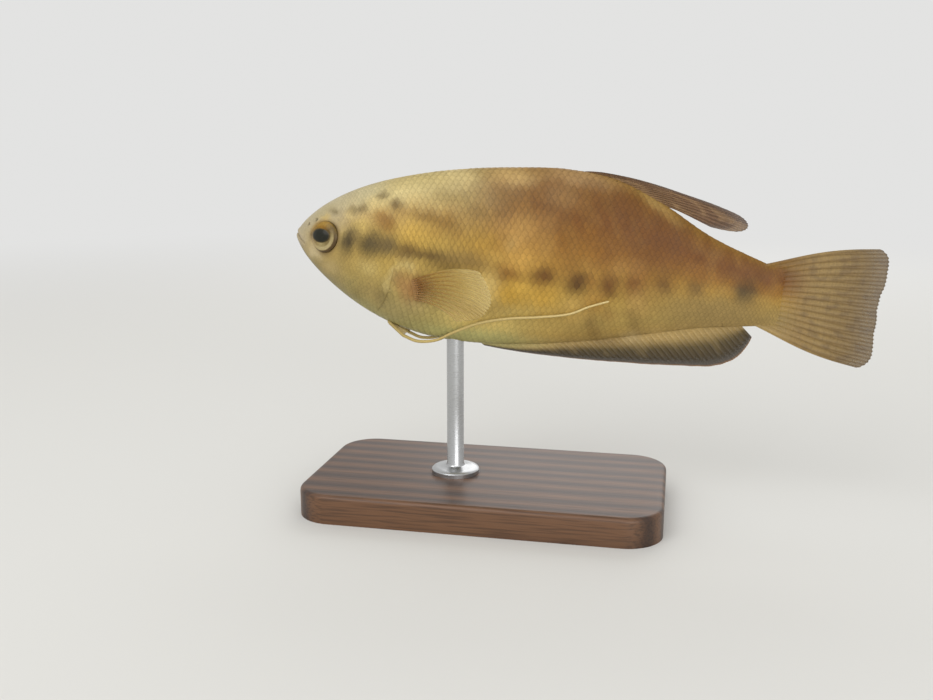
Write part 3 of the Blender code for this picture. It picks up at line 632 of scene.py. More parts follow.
# name, station, level, half length and half height in thousandths of the standard length,
# tilt in degrees, tone, strength
MARKS = [
    ("snout", 12, 4, 30, 30, 0, "#B4A996", 0.9),
    ("chin", 56, -25, 22, 20, 0, "#CBBB9E", 0.8),
    ("brow", 70, 62, 34, 16, 30, "#B0A27E", 0.55),
    ("eye_back", 118, 10, 12, 30, 0, "#AC965E", 0.6),
    ("eye_bar", 138, 12, 17.5, 34, -14, "#4A3E28", 0.98),
    ("cheek_blotch", 187, 11, 31, 29, 5, "#544830", 0.98),
    ("gill_blotch", 226, 12, 25, 22, 0, "#66563A", 0.92),
    ("band_front", 272, 10, 26, 14, -8, "#573F1E", 0.95),
    ("band_middle", 320, 6, 40, 12, -3, "#5C4422", 0.95),
    ("band_under", 268, -7, 22, 10, -4, "#6C5434", 0.66),
    ("band_haze", 400, 2, 64, 20, -3, "#846B42", 0.75),
    ("band_line", 318, 4, 34, 9, -2, "#4E3818", 0.72),
    ("band_low", 354, -15, 36, 12, -6, "#6E5628", 0.7),
    ("pale_line", 306, -26, 30, 6, -4, "#BE9E56", 0.5),
    ("blotch_1", 483, -11, 22, 20, 20, "#784C1A", 0.9),
    ("blotch_1b", 503, -21, 13, 11, 0, "#784C1A", 0.75),
    ("blotch_2", 559, -11, 28, 21, 0, "#5C3406", 0.94),
    ("blotch_3", 631, -14, 27, 27, 0, "#4A2A06", 0.95),
    ("blotch_4", 692, -12, 22, 28, 0, "#5A3004", 0.96),
    ("blotch_5", 744, -5, 21, 27, 0, "#6C3A06", 0.92),
    ("blotch_6", 803, -1, 20, 21, 0, "#5A3A16", 0.8),
    ("blotch_7", 865, 1, 18, 18, 0, "#5A3A16", 0.76),
    ("tail_spot", 962, 2, 24, 28, 0, "#332515", 0.95),
    ("nape_pale", 165, 116, 40, 26, 24, "#C6BDA4", 0.6),
    ("nape_gold", 184, 98, 22, 14, 24, "#DEC892", 0.48),
    ("nape_spot", 233, 97, 12, 12, 0, "#4E3610", 0.95),
    ("nape_light", 230, 118, 20, 11, 0, "#E6D4A2", 0.66),
    ("nape_streak", 199, 112, 15, 6.5, 28, "#5E4E2C", 0.9),
    ("crown_streak", 138, 74, 12, 8.5, 8, "#6E5E38", 0.8),
    ("crown_streak_2", 160, 81, 11, 9, 0, "#665430", 0.85),
    ("crown_dab", 94, 64, 13, 7, 10, "#726342", 0.65),
    ("rust", 208, 62, 28, 15, -24, "#8A6024", 0.78),
    ("rust_low", 225, 58, 16, 18, 0, "#7E561C", 0.7),
    ("gold_cheek", 157, 46, 20, 15, 0, "#D6BA74", 0.7),
    ("over_eye", 76, 49, 15, 6.5, 0, "#D2B468", 0.5),
    ("temple", 131, 63, 13, 10, 0, "#D8C08A", 0.55),
    ("cheek_front", 96, -56, 22, 16, 0, "#C0AA7E", 0.5),
    ("gold_patch", 287, 47, 46, 28, -6, "#C8A24E", 0.75),
    ("brown_front", 252, 83, 17, 12, 0, "#8E6A2A", 0.58),
    ("brown_1", 300, 82, 30, 15, -4, "#7C5814", 0.8),
    ("brown_2", 345, 74, 30, 21, 0, "#845E1A", 0.78),
    ("brown_3", 372, 54, 18, 14, 0, "#936D30", 0.5),
    ("brown_4", 324, 50, 18, 13, 0, "#906C2E", 0.42),
    ("upper_brown", 400, 101, 24, 16, 0, "#7A6030", 0.55),
    ("back_shade", 344, 126, 58, 19, 0, "#8A7644", 0.58),
    ("back_pale", 352, 170, 40, 12, 0, "#E0CC9C", 0.55),
    ("back_brown", 462, 153, 45, 26, -10, "#846030", 0.6),
    ("back_top", 468, 182, 50, 18, 0, "#C8A874", 0.8),
    ("back_top_2", 600, 194, 85, 17, -4, "#AC8C66", 0.72),
    ("back_light", 571, 152, 40, 26, 0, "#9C7A50", 0.55),
    ("back_brown_2", 690, 150, 36, 24, -20, "#683F14", 0.5),
    ("upper_gold", 462, 80, 28, 20, 0, "#B88E54", 0.5),
    ("upper_light", 506, 72, 34, 40, 0, "#C29858", 0.78),
    ("upper_light_2", 552, 98, 24, 26, 0, "#A67E4A", 0.5),
    ("upper_dab", 518, 50, 10, 16, 0, "#906A2C", 0.34),
    ("upper_glow", 485, 46, 12, 15, 0, "#D4B87C", 0.34),
    ("gold_mid", 425, 40, 34, 24, 20, "#BC9442", 0.6),
    ("gold_mid_2", 505, 16, 38, 24, 10, "#D0A456", 0.75),
    ("gold_mid_3", 454, 15, 17, 14, 0, "#CCA658", 0.6),
    ("gold_low", 480, -58, 48, 24, 0, "#C09430", 0.75),
    ("gold_low_2", 560, -56, 32, 26, 0, "#C89D40", 0.7),
    ("gold_low_4", 514, -38, 26, 13, 10, "#DCB254", 0.72),
    ("gold_low_3", 670, -53, 26, 22, 20, "#AC7E3C", 0.6),
    ("between_brown", 659, -12, 10, 22, 10, "#92642A", 0.6),
    ("rear_bar", 650, 20, 10, 26, 30, "#A88048", 0.28),
    ("rear_bar_2", 712, 25, 24, 20, 30, "#B88E50", 0.58),
    ("rear_bar_3", 746, 27, 17, 22, 30, "#C09052", 0.55),
    ("rear_gold", 752, -44, 24, 30, 0, "#C49E60", 0.55),
    ("mid_brown", 606, 22, 30, 30, 0, "#8C622A", 0.56),
    ("mid_light", 556, 45, 20, 26, 0, "#BE9450", 0.5),
    ("mid_brown_2", 674, 36, 26, 26, 10, "#7C4E1C", 0.6),
    ("low_gold", 628, -78, 30, 30, 0, "#CCA864", 0.55),
    ("low_dark", 668, -106, 14, 32, 16, "#745A34", 0.62),
    ("low_light", 716, -98, 16, 28, 20, "#B09252", 0.44),
    ("low_rear_gold", 566, -118, 44, 44, 0, "#CCAC66", 0.5),
    ("fin_shade", 710, -137, 32, 13, 8, "#6C5432", 0.4),
    ("fin_grey", 752, -122, 18, 16, 0, "#BEAA88", 0.42),
    ("low_rust", 700, -79, 14, 14, 0, "#865E34", 0.4),
    ("cheek_light", 186, -40, 24, 18, 0, "#D0BE8A", 0.38),
    ("flank_low", 296, -104, 26, 18, 0, "#BCA67A", 0.42),
    ("jaw_shade", 160, -102, 22, 18, 0, "#786A42", 0.42),
    ("ridge_shade", 640, 184, 28, 10, 0, "#765636", 0.42),
    ("low_dark_2", 752, -86, 12, 32, 22, "#745C34", 0.6),
    ("rear_back", 770, 60, 70, 85, 0, "#6C400E", 0.6),
    ("back_ridge", 765, 160, 60, 10, -35, "#BC9E64", 0.5),
    ("low_pale", 436, -118, 86, 40, 0, "#F2D88C", 0.88),
    # painted shadow of the pectoral fin on the lower flank
    ("pectoral_fin_shadow", 446, -97, 58, 22, 4, "#907238", 0.66),
    ("low_rear_pale", 545, -160, 55, 20, 6, "#CCB47C", 0.5),
    ("flank_glow", 446, -46, 24, 30, 0, "#E0C68A", 0.65),
    ("tail_low", 930, -46, 150, 46, 0, "#917A50", 0.85),
    ("cover_low", 200, -90, 34, 30, 0, "#A08A5C", 0.6),
    ("gill_shade", 254, -50, 14, 13, 0, "#7E5C36", 0.7),
    ("gill_shade_low", 220, -97, 15, 27, -16, "#6E5E38", 0.62),
    ("gill_pink", 276, -70, 24, 30, 0, "#AA7E54", 0.75),
    ("fin_wedge", 300, -68, 16, 26, 0, "#84502A", 0.85),
    ("throat_haze", 250, -125, 50, 30, 0, "#A09068", 0.5),
    ("belly_green", 420, -162, 120, 20, 0, "#C6C48C", 0.8),
]
GILL_ARC = [(0.233, -0.078), (0.236, -0.062), (0.243, -0.042), (0.260, -0.024), (0.286, -0.028)]
GILL_TONE, GILL_STRENGTH, GILL_WIDTH = "#CDBA88", 0.60, 1.25
LIGHT_PATCH, DARK_PATCH, PATCH_STRENGTH = "#B28C4C", "#6E4B2A", 0.14
SPECKLE = 0.13
FRAY = 0.0075                           # how far noise moves an edge, a share of the length
VARNISH = np.array([0.86, 0.84, 0.69])  # clear varnish deepens and warms the paint under it


def tone_ramp(tones, height):
    """Linear colours between the tones of a ramp."""
    places, names = zip(*tones)
    colours = np.array([linear(tone) for tone in names])
    return np.stack([np.interp(height, places, colours[:, k]) for k in range(3)], axis=-1)


def mixed(colours, other, amount):
    return colours + (other - colours) * np.asarray(amount)[..., None]


def body_colour(share, level, right):
    """Linear colours at stations and levels; the right side is frayed a little otherwise."""
    place = share + np.where(right, 7.3, 0.0)

    def frayed(value, coarse_seed, fine_seed):
        return value + FRAY * (lumps(place, level, 0.022, coarse_seed)
                               + 0.4 * lumps(place, level, 0.008, fine_seed))

    s, z = frayed(share, 1.7, 4.1), frayed(level, 9.2, 6.6)
    top, bottom = section(share)[:2]
    height = np.clip((z * STANDARD_LENGTH - bottom) / (top - bottom), 0.0, 1.0)
    colours = mixed(tone_ramp(FRONT_TONES, height), tone_ramp(REAR_TONES, height),
                    ease((s - 0.36 + 0.10 * height) / 0.26))
    colours = mixed(tone_ramp(HEAD_TONES, height), colours, ease((s - 0.07) / 0.13))

    patches = lumps(place + 0.35 * level, 0.4 * level, 0.021, 12.4)
    upper = PATCH_STRENGTH * ease((height - 0.42) / 0.2) * ease((share - 0.38) / 0.12)
    colours = mixed(colours, linear(LIGHT_PATCH), upper * ease((patches - 0.02) / 0.35))
    colours = mixed(colours, linear(DARK_PATCH), upper * ease((-patches - 0.05) / 0.35))
    speckle = SPECKLE * lumps(place, level, 0.0125, 3.3) * ease((share - 0.06) / 0.1)
    colours *= (1.0 + speckle)[..., None]

    for name, *sizes, tilt, tone, strength in MARKS:
        station, mark_level, length, depth = (size / 1000 for size in sizes)
        tilt = math.radians(tilt)
        across = (s - station) * math.cos(tilt) + (z - mark_level) * math.sin(tilt)
        up = (z - mark_level) * math.cos(tilt) - (s - station) * math.sin(tilt)
        far = (across / length) ** 2 + (up / depth) ** 2
        colours = mixed(colours, linear(tone), strength * np.exp(-far ** 1.3))

    spots = np.stack([s * STANDARD_LENGTH, np.zeros_like(s), z * STANDARD_LENGTH], axis=-1)
    arc = line_distance(spots.reshape(-1, 3), GILL_ARC).reshape(s.shape)
    return mixed(colours, linear(GILL_TONE), GILL_STRENGTH * bell(arc, GILL_WIDTH)) * VARNISH


# %% Markings of the skin
LIP_TONE, MOUTH_TONE, NOSTRIL_TONE = "#A8997C", "#66553A", "#3B3122"
# painted rings on the skin round the eye, a dark one that is painted shade at the rim of the
# socket and a gold one: tone, millimetres outside its edge, width, and the strength by the turn
# from straight ahead over the top, in degrees
EYE_RINGS = [
    ("#5A4426", 0.1, 1.05, [(-180, 0.68), (-135, 0.48), (-90, 0.66), (-60, 0.10), (-30, 0.0),
                            (0, 0.80), (25, 0.25), (60, 0.0), (95, 0.05), (135, 0.80),
                            (180, 0.68)]),
    ("#96742E", 0.2, 0.80, [(-180, 0.0), (0, 0.0), (25, 0.60), (60, 0.70), (90, 0.30),
                            (120, 0.0), (180, 0.0)]),
]

skin_colour = body_colour(skin_share, smooth_skin[:, 2] / STANDARD_LENGTH, smooth_skin[:, 1] > 0)
over, mouth = mouth_places(smooth_skin)
lips, cut = bell(np.abs(over) - LIP_APART, 0.8), bell(over, 0.34)
skin_colour = mixed(skin_colour, linear(LIP_TONE), 0.5 * mouth * lips)
skin_colour = mixed(skin_colour, linear(MOUTH_TONE), 0.5 * mouth * cut)
for side in (-1, 1):
    for station, level, radius in NOSTRILS:
        away = nostril_distance(smooth_skin, station, level, side)
        skin_colour = mixed(skin_colour, linear(NOSTRIL_TONE), 0.85 * bell(away, 0.75 * radius))
    outside, turn, own_side = eye_places(smooth_skin, side)
    for tone, ring_out, width, turns in EYE_RINGS:
        ring = own_side * bell(outside - ring_out, width) * np.interp(turn, *zip(*turns))
        skin_colour = mixed(skin_colour, linear(tone), ring)
paint(skin, skin_colour)
print("marks:", len(MARKS))

# %% [markdown]
# A museum fish is cast in resin, painted by hand and sealed with a satin varnish. The paint
# lies in the attribute; the material adds the fine grain of the skin, a fraction of a
# millimetre across, and breaks up the gloss a little so that the varnish isn't like glass.

# %% Painted skin
SKIN_GRAIN, SCALE_GRAIN, FINE_GRAIN = 0.0005, 0.0004, 0.0006    # metres
CLOUD_SIZE = 0.004


def painted_surface(name, grain, grain_depth, roughness, spread, coat):
    """Painted resin under satin varnish; its colour is what paint has laid on the points."""
    made, tree, shader = new_material(name)
    place = object_place(tree)
    fine = noise_of(tree, place, grain)
    cloud = noise_of(tree, place, CLOUD_SIZE, detail=3.0)
    shade = ranged(tree, fine, (0.25, 0.75), (0.88, 1.10))
    set_inputs(tree, shader, Base_Color=shaded(tree, stored(tree, "markings"), shade),
               Roughness=ranged(tree, cloud, (0.3, 0.7), (roughness - spread, roughness + spread)),
               Normal=bumped(tree, fine, 0.6, grain_depth),
               Coat_Weight=coat, Coat_Roughness=0.25, Specular_IOR_Level=0.24)
    return made


skin_paint = painted_surface("painted_resin_skin", SKIN_GRAIN, 0.00006, 0.50, 0.06, 0.06)
FLESH_NODES = ["head", "trunk", "tail_stem"]
finish_piece(skin, FLESH_NODES, skin_paint)

# %% [markdown]
# Scales. They lie in staggered rows like roof tiles, about sixty along the flank, each with
# its root sunk in the skin and its rear edge a fraction of a millimetre proud. One plate is
# modelled, a grid of twelve faces closed underneath, and is copied in code to every place, so
# all scales of a side are one mesh. They grow smaller towards the tail, and are smallest and
# flattest on the cheek and the forehead. Hair systems and instances would be lost on export.

# %% One scale
SCALE_ACROSS = 4
SCALE_ALONG = 3
# share of the scale's pitch behind the root, half width, and height over the skin for each row
PLATE_ROWS = [(-0.55, 0.46, -0.9), (0.05, 0.72, 0.02), (0.66, 0.67, 0.62), (1.20, 0.40, 1.0)]
PLATE_CROWN = 0.14                      # a scale is this much higher along its middle
PLATE_ROUND = 0.34                      # the corners of its rear edge lie this far forward

bpy.ops.mesh.primitive_grid_add(x_subdivisions=SCALE_ACROSS, y_subdivisions=SCALE_ALONG, size=2.0)
plate = bpy.context.object
to_mode('EDIT')
bpy.ops.mesh.select_all(action='DESELECT')
bpy.ops.mesh.select_mode(type='EDGE')
bpy.ops.mesh.select_non_manifold()
bpy.ops.mesh.edge_face_add()
to_mode('OBJECT')
plate_points = np.array([vertex.co for vertex in plate.data.vertices])
plate_faces = [list(face.vertices) for face in plate.data.polygons]
plate_v = plate_points[:, 0]                                     # -1 to 1 across the scale
plate_row = np.rint((plate_points[:, 1] + 1.0) / 2.0 * SCALE_ALONG).astype(int)
rear = plate_row == SCALE_ALONG
row_back, row_width, row_height = np.array(PLATE_ROWS)[plate_row].T
PLATE_U = row_back - PLATE_ROUND * rear * plate_v ** 2
PLATE_V = row_width * plate_v
PLATE_H = row_height + PLATE_CROWN * (1.0 - plate_v ** 2) * (plate_row > 0)
PLATE_EDGE = 1.0 * rear + 0.35 * (np.abs(plate_v) > 0.9)
bpy.data.objects.remove(plate, do_unlink=True)
print("one scale:", len(plate_faces), "faces,", len(plate_points), "points")

# %% Where the scales grow
# station, and there the distance from scale to scale and the height of their rear edges, in mm
SCALE_PITCH = [(0.10, 1.10), (0.18, 1.45), (0.24, 1.85), (0.30, 2.00), (0.55, 2.05), (0.80, 1.80),
               (0.97, 1.30), (1.04, 1.00)]
SCALE_PROUD = [(0.10, 0.015), (0.22, 0.035), (0.27, 0.075), (0.60, 0.105), (1.04, 0.060)]
HEAD_SCALES_START = 18.0                # millimetres behind the snout, along the side
SCALES_END = (1.0 + 0.8 * TAIL_FLESH) * STANDARD_LENGTH / MM
SCALE_ROW = 0.92                        # row spacing as a share of the pitch
BARE_RIM = 0.9                          # the gill cover's edge is bare skin
EYE_BARE = 2.4                          # and so is this much round the eye
BARE_THROAT = 2.80                      # and the throat, from this angle on
NAPE_LEVEL = -0.010                     # above this the scales run on over the gill line
SCALE_FOLD = math.radians(50.0)         # a scale's rim is a sharp edge, its face is smooth
random.seed(41)


def along_table(points, share):
    places, values = zip(*points)
    return np.interp(share, places, values)


def pitch_at(ring):
    return along_table(SCALE_PITCH, ring * MM / STANDARD_LENGTH)


def scale_columns():
    """Rings that carry a column of scales, forward over the head and back along the trunk."""
    columns = []
    ring = GILL_MM - 0.4
    while ring < SCALES_END:
        columns.append((ring, len(columns)))
        ring += pitch_at(ring) / 2.0
    ring, count = GILL_MM - 0.4, 0
    while ring > HEAD_SCALES_START:
        ring -= pitch_at(ring) / 2.0
        count += 1
        columns.append((ring, -count))
    return columns


def scale_places():
    """Ring, angle and pitch of every scale of the left side."""
    found = []
    sweep = np.linspace(0.0, math.pi, 361)
    for ring, column in scale_columns():
        line = body_points(skin_station(np.full_like(sweep, ring), sweep), sweep)
        step = np.linalg.norm(np.diff(line, axis=0), axis=1)
        arc = np.concatenate([[0.0], np.cumsum(step)])
        middle = float(np.interp(0.0, line[::-1, 2], arc[::-1]))
        pitch = float(pitch_at(ring)) * MM
        row = pitch * SCALE_ROW
        for k in range(-int(middle / row) - 1, int((arc[-1] - middle) / row) + 2):
            place = middle + k * row
            if (k + column) % 2 == 0 and 0.2 * row < place < arc[-1] - 0.2 * row:
                found.append((ring, float(np.interp(place, arc, sweep)), pitch))
    return np.array(found)


def clear_of_features(places):
    """Keep scales off the eye, the throat and the bare rim of the gill cover."""
    ring, angle, pitch = places.T
    points = body_points(skin_station(ring, angle), angle)
    eye = np.linalg.norm(points - seat(EYE_STATION, EYE_LEVEL, -1)[0], axis=1)
    rim = (ring < GILL_MM - 0.5) & (ring > GILL_MM - BARE_RIM - 0.6 * pitch / MM)
    rim &= points[:, 2] < NAPE_LEVEL * STANDARD_LENGTH
    throat = (ring < GILL_MM) & (angle > BARE_THROAT)
    return places[(eye > EYE_RADIUS + EYE_BARE * MM) & ~rim & ~throat]


left_places = clear_of_features(scale_places())
print("scales on a side:", len(left_places))


# %% Lay the scales
SCALE_UNEVEN, PROUD_UNEVEN, SHADE_UNEVEN = 0.05, 0.15, 0.055    # no two scales are quite alike
PATCH_SIZE = 0.0015                     # each scale has its own small patch of the map


def lay_scales(name, places, side):
    """One joined mesh of closed plates that follow the skin, with their colours and map."""
    count, size = len(places), len(PLATE_U)
    ring, angle, pitch = (places[:, k][:, None] for k in range(3))
    share = skin_station(ring, angle)
    jitter = np.array([[random.uniform(-1, 1) for _ in range(4)] for _ in range(count)])
    pitch = pitch * (1.0 + SCALE_UNEVEN * jitter[:, :1])
    per_angle = np.linalg.norm(body_points(share, angle + 0.005)
                               - body_points(share, angle - 0.005), axis=-1) / 0.01
    plate_share = share + PLATE_U * pitch / STANDARD_LENGTH
    plate_angle = angle + PLATE_V * pitch * 1.5 * SCALE_ROW / per_angle
    plate_angle = plate_angle + jitter[:, 1:2] * SCALE_UNEVEN * PLATE_U * pitch / per_angle
    proud = along_table(SCALE_PROUD, share) * MM * (1.0 + PROUD_UNEVEN * jitter[:, 2:3])
    smooth = body_points(plate_share, plate_angle)
    gill = gill_line(plate_angle)
    behind = np.where(plate_share > gill, (plate_share - gill) / (1.0 - gill)
                      * (STANDARD_LENGTH / MM - GILL_MM), (plate_share / gill - 1.0) * GILL_MM)
    behind = np.where(ring > GILL_MM - 0.5, np.maximum(behind, 0.25), np.minimum(behind, 0.0))
    under = relief(smooth.reshape(-1, 3), plate_angle.ravel(), GILL_MM + behind.ravel())
    lift = under.reshape(count, size) - SKIN_DEPTH + PLATE_H * proud
    points = smooth + outward(plate_share, plate_angle) * lift[..., None]
    points[..., 1] *= -side

    # a mirrored plate would be inside out, so its faces run the other way round
    turned = plate_faces if side < 0 else [face[::-1] for face in plate_faces]
    corners = [vertex for face in turned for vertex in face]
    faces = [[vertex + k * size for vertex in face] for k in range(count) for face in turned]
    mesh = bpy.data.meshes.new(name)
    mesh.from_pydata(on_stand(points.reshape(-1, 3)).tolist(), [], faces)
    piece = bpy.data.objects.new(name, mesh)
    bpy.context.scene.collection.objects.link(piece)

    colour = body_colour(smooth[..., 0] / STANDARD_LENGTH, smooth[..., 2] / STANDARD_LENGTH,
                         np.full(smooth.shape[:2], side > 0))
    whole = colour.mean(axis=1, keepdims=True)
    colour = (0.5 * colour + 0.5 * whole) * (1.0 + SHADE_UNEVEN * jitter[:, 3:4, None])
    shade = 1.03 - 0.17 * PLATE_EDGE
    paint(piece, (colour * shade[None, :, None]).reshape(-1, 3))

    turned_angle = angle[:, 0] / (2.0 * math.pi) * (1 if side < 0 else -1)
    root_map = np.stack([0.5 + turned_angle, share[:, 0]], axis=-1)
    plate_map = np.stack([plate_v, PLATE_U], axis=-1) * PATCH_SIZE
    patches = (root_map[:, None, :] + plate_map[None, :, :]).reshape(-1, 2)
    order = (np.arange(count)[:, None] * size + np.array(corners)[None, :]).ravel()
    layer = mesh.uv_layers.new(name="OFBake")
    layer.data.foreach_set("uv", patches[order].ravel())
    shade_piece(piece, fold=SCALE_FOLD)
    return piece


# %% Scales of both sides
scale_paint = painted_surface("painted_resin_scales", SCALE_GRAIN, 0.00003, 0.48, 0.06, 0.06)
for name, side in (("scales_left", -1), ("scales_right", 1)):
    finish_piece(lay_scales(name, left_places, side), FLESH_NODES, scale_paint)

# %% [markdown]
# The eye is a low dome of glossy enamel in its socket: a large black pupil a little ahead of
# the middle, a gold iris that is brightest above it, an olive one behind, and a pale crescent
# low at the rear. It starts as a sphere whose rear half is pulled in, and its colours are laid
# by the distance and the direction from its middle, because a decal would be an image.

# %% Eyes
GAP = 0.0003                            # under the eye
EYE_SINK, EYE_WALL, EYE_DOME = 0.0023, 0.0015, 0.0014
EYE_BACK = 0.3                          # share of the sphere that makes the eye's rear
PUPIL_SIZE = (0.0037, 0.0024)           # half width and half height
PUPIL_AHEAD, PUPIL_UP = 0.0009, 0.0002  # from the middle of the eye
PUPIL_BULGE, PUPIL_GROOVE = 0.00022, 0.00010
PUPIL_TONES = [(0.00, "#1B1C12"), (0.82, "#1E1D12"), (0.98, "#463A1E"), (1.08, "#7A6432")]
RING_AHEAD = 0.10                       # the painted rings' middle, a share of the radius
# turn from straight ahead over the top, in degrees: tone near the pupil, tone at the rim, and
# how strong the pale crescent and the dark line outside it, painted shade at the socket's rim,
# are there
IRIS_TONES = [(-180, "#6E5E38", "#7E6E46", 0.42), (-135, "#74643C", "#8A7850", 0.76),
              (-90, "#9A8A5E", "#A08E60", 1.0), (-60, "#88764A", "#A48E60", 0.40),
              (-30, "#7C6A46", "#98825A", 0.0), (0, "#6A5A3C", "#76664A", 0.0),
              (40, "#6A5222", "#8A6A28", 0.0), (65, "#825E1A", "#94722A", 0.0),
              (100, "#825E1A", "#947430", 0.0), (135, "#4E3C14", "#66501E", 0.0),
              (160, "#5C4C28", "#6A5830", 0.20), (180, "#6E5E38", "#7E6E46", 0.42)]
CRESCENT_TONE, SHADE_TONE, SHADE_STRENGTH = "#AC9C70", "#483418", 0.90


def eye_profile(along_eye):
    """Radius and height over the seat, from the back (0) to the top of the dome (1)."""
    rear = np.clip(along_eye / EYE_BACK, 0.0, 1.0) * math.pi / 2
    front = np.clip((along_eye - EYE_BACK) / (1.0 - EYE_BACK), 0.0, 1.0) * math.pi / 2
    radius = EYE_RADIUS * np.where(along_eye < EYE_BACK, np.sin(rear), np.cos(front))
    return radius, GAP - EYE_SINK + EYE_WALL * (1.0 - np.cos(rear)) + EYE_DOME * np.sin(front)


def iris_colour(flat, far):
    """Colours round the pupil, by direction and by how far out they lie (1 is its edge)."""
    spot = flat / EYE_RADIUS - (RING_AHEAD, 0.0)
    turn = np.degrees(np.arctan2(spot[:, 1], spot[:, 0]))
    out = np.linalg.norm(spot, axis=1)
    ways, near, rim, strength = zip(*IRIS_TONES)
    iris = mixed(tone_ramp(zip(ways, near), turn), tone_ramp(zip(ways, rim), turn),
                 ease((out - 0.60) / 0.20))
    crescent = np.interp(turn, ways, strength)
    iris = mixed(iris, linear(CRESCENT_TONE),
                 crescent * ease((out - 0.65) / 0.09) * ease((0.93 - out) / 0.08))
    iris = mixed(iris, linear(SHADE_TONE),
                 SHADE_STRENGTH * ease(crescent / 0.5) * ease((out - 0.87) / 0.08))
    return mixed(tone_ramp(PUPIL_TONES, far), iris, ease((far - 0.97) / 0.10))


eye_enamel, tree, shader = new_material("glossy_enamel_eye")
fleck = ranged(tree, noise_of(tree, object_place(tree), FINE_GRAIN), (0.3, 0.7), (0.84, 1.12))
set_inputs(tree, shader, Base_Color=shaded(tree, stored(tree, "markings"), fleck), Roughness=0.40,
           Specular_IOR_Level=0.18, Coat_Weight=0.14, Coat_Roughness=0.05)

for node, side in (("eye_left", -1), ("eye_right", 1)):
    eye, around, along = sphere_to_shape(f"{node}_glass", 96, 90)
    middle, out = seat(EYE_STATION, EYE_LEVEL, side)
    radius, height = eye_profile(along)
    up = unit(np.array([0.0, 0.0, 1.0]) - out * out[2])
    ahead = unit(np.cross(up, out))
    ahead = -ahead * np.sign(ahead[0])  # towards the snout
    turn = around * 2.0 * math.pi
    flat = np.stack([radius * np.cos(turn), radius * np.sin(turn)], axis=-1)
    far = np.linalg.norm((flat - (PUPIL_AHEAD, PUPIL_UP)) / PUPIL_SIZE, axis=1)
    bulge = PUPIL_BULGE * ease((1.0 - far) / 0.6) - PUPIL_GROOVE * bell(far - 1.0, 0.09)
    height = height + bulge * (along > EYE_BACK)
    points = middle + flat[:, :1] * ahead + flat[:, 1:] * up + height[:, None] * out
    set_points(eye, on_stand(points))
    face_outwards(eye)
    paint(eye, iris_colour(flat, far))
    finish_piece(eye, [node], eye_enamel)

# %% [markdown]
# Fins. Each is a thin membrane held by bony rays that stand up on both faces and fork towards
# the edge. A flat grid gives the membrane, several columns to each ray, and Solidify gives it
# a second face. The points of both faces are then set in code: the middle of the fin, plus
# and minus half of its thickness there. The roots are fleshy and are sunk into the skin, and
# no two rays end quite alike.

# %% A fin
RAY_COLUMNS = 10
RAY_WIDTH, RAY_FORK = 0.17, 0.25        # shares of the distance between two rays
SEAT_DEPTH = 0.0012                     # roots reach this far into the skin
ROOT_FLESH = 0.22                       # the fleshy root's share of the fin
FILM_SHORT = 0.008                      # the film's edge dips between the rays
RAY_UNEVEN = 0.014                      # rays end up to this much shorter than their neighbours


def ray_shape(place, out, rays, split):
    """Height of the rays over the membrane, 0 to 1; each forks past the split."""
    phase = (place * rays) % 1.0 - 0.5
    fork = RAY_FORK * ease((out - split) / (1.0 - split))
    narrow = RAY_WIDTH * (1.0 - 0.35 * out)
    return np.maximum(bell(phase - fork, narrow), bell(phase + fork, narrow))


def fin_piece(name, rays, rows, split, middle, across, root, ray, film):
    """A fin, with the place, out and ray height of its points. The last three arguments are
    its thickness at the root, on a ray and between the rays."""
    bpy.ops.mesh.primitive_grid_add(x_subdivisions=rays * RAY_COLUMNS, y_subdivisions=rows,
                                    size=2.0)
    piece = name_new(name)
    piece.data.uv_layers.active.name = "fin_place"
    place, out = vertex_places(piece.data)
    solid = piece.modifiers.new("two faces", 'SOLIDIFY')
    solid.thickness = 0.1
    solid.offset = 0.0
    bpy.ops.object.modifier_apply(modifier="two faces")
    rays_up = ray_shape(place, out, rays, split)
    flesh = np.clip(1.0 - out / ROOT_FLESH, 0.0, 1.0) ** 2
    thin = film + (ray - film) * rays_up * (1.0 - 0.45 * out)
    uneven = np.array([random.random() for _ in range(rays + 1)]) * RAY_UNEVEN
    short = FILM_SHORT * (1.0 - rays_up) + np.interp(place * rays, np.arange(rays + 1), uneven)
    centre = middle(place, out * (1.0 - short * ease((out - 0.6) / 0.4)))
    sideways = across(place, out) * (lerp(thin, root, flesh) / 2.0)[:, None]
    set_points(piece, on_stand(np.concatenate([centre + sideways, centre - sideways])))
    face_outwards(piece)
    return piece, np.tile(place, 2), np.tile(out, 2), np.tile(rays_up, 2)


def straight_across(place, out):
    return np.tile((0.0, 1.0, 0.0), (len(place), 1))


def upright(x, z):
    return np.stack([x, np.zeros_like(x), z], axis=-1)


# %% [markdown]
# The film between the rays lets some light through on the living fish, most of all in the
# pectoral fin. A cast model uses clear resin tinted with thin paint, so the film's alpha is
# below one and the rays are opaque. Fine cross joints every millimetre mark the rays.


# %% Fin finish
def fin_surface(name, joint_count):
    """Tinted resin: the rays are crossed by joints, and the film lets light through."""
    made, tree, shader = new_material(name)
    fin_map = add_node(tree, "ShaderNodeUVMap", {"uv_map": "fin_place"}).outputs["UV"]
    out = add_node(tree, "ShaderNodeSeparateXYZ", Vector=fin_map).outputs["Y"]
    cell = add_node(tree, "ShaderNodeMath", {"operation": 'FRACT'},
                    _0=multiplied(tree, out, joint_count)).outputs["Value"]
    fine = noise_of(tree, object_place(tree), FINE_GRAIN)
    shade = multiplied(tree, ranged(tree, cell, (0.0, 0.22), (0.90, 1.0)),
                       ranged(tree, fine, (0.25, 0.75), (0.86, 1.12)))
    set_inputs(tree, shader, Base_Color=shaded(tree, stored(tree, "markings"), shade),
               Alpha=stored(tree, "body", "Fac"), Normal=bumped(tree, shade, 0.5, 0.0001),
               Roughness=0.48, Coat_Weight=0.06, Coat_Roughness=0.2, Specular_IOR_Level=0.32)
    return made


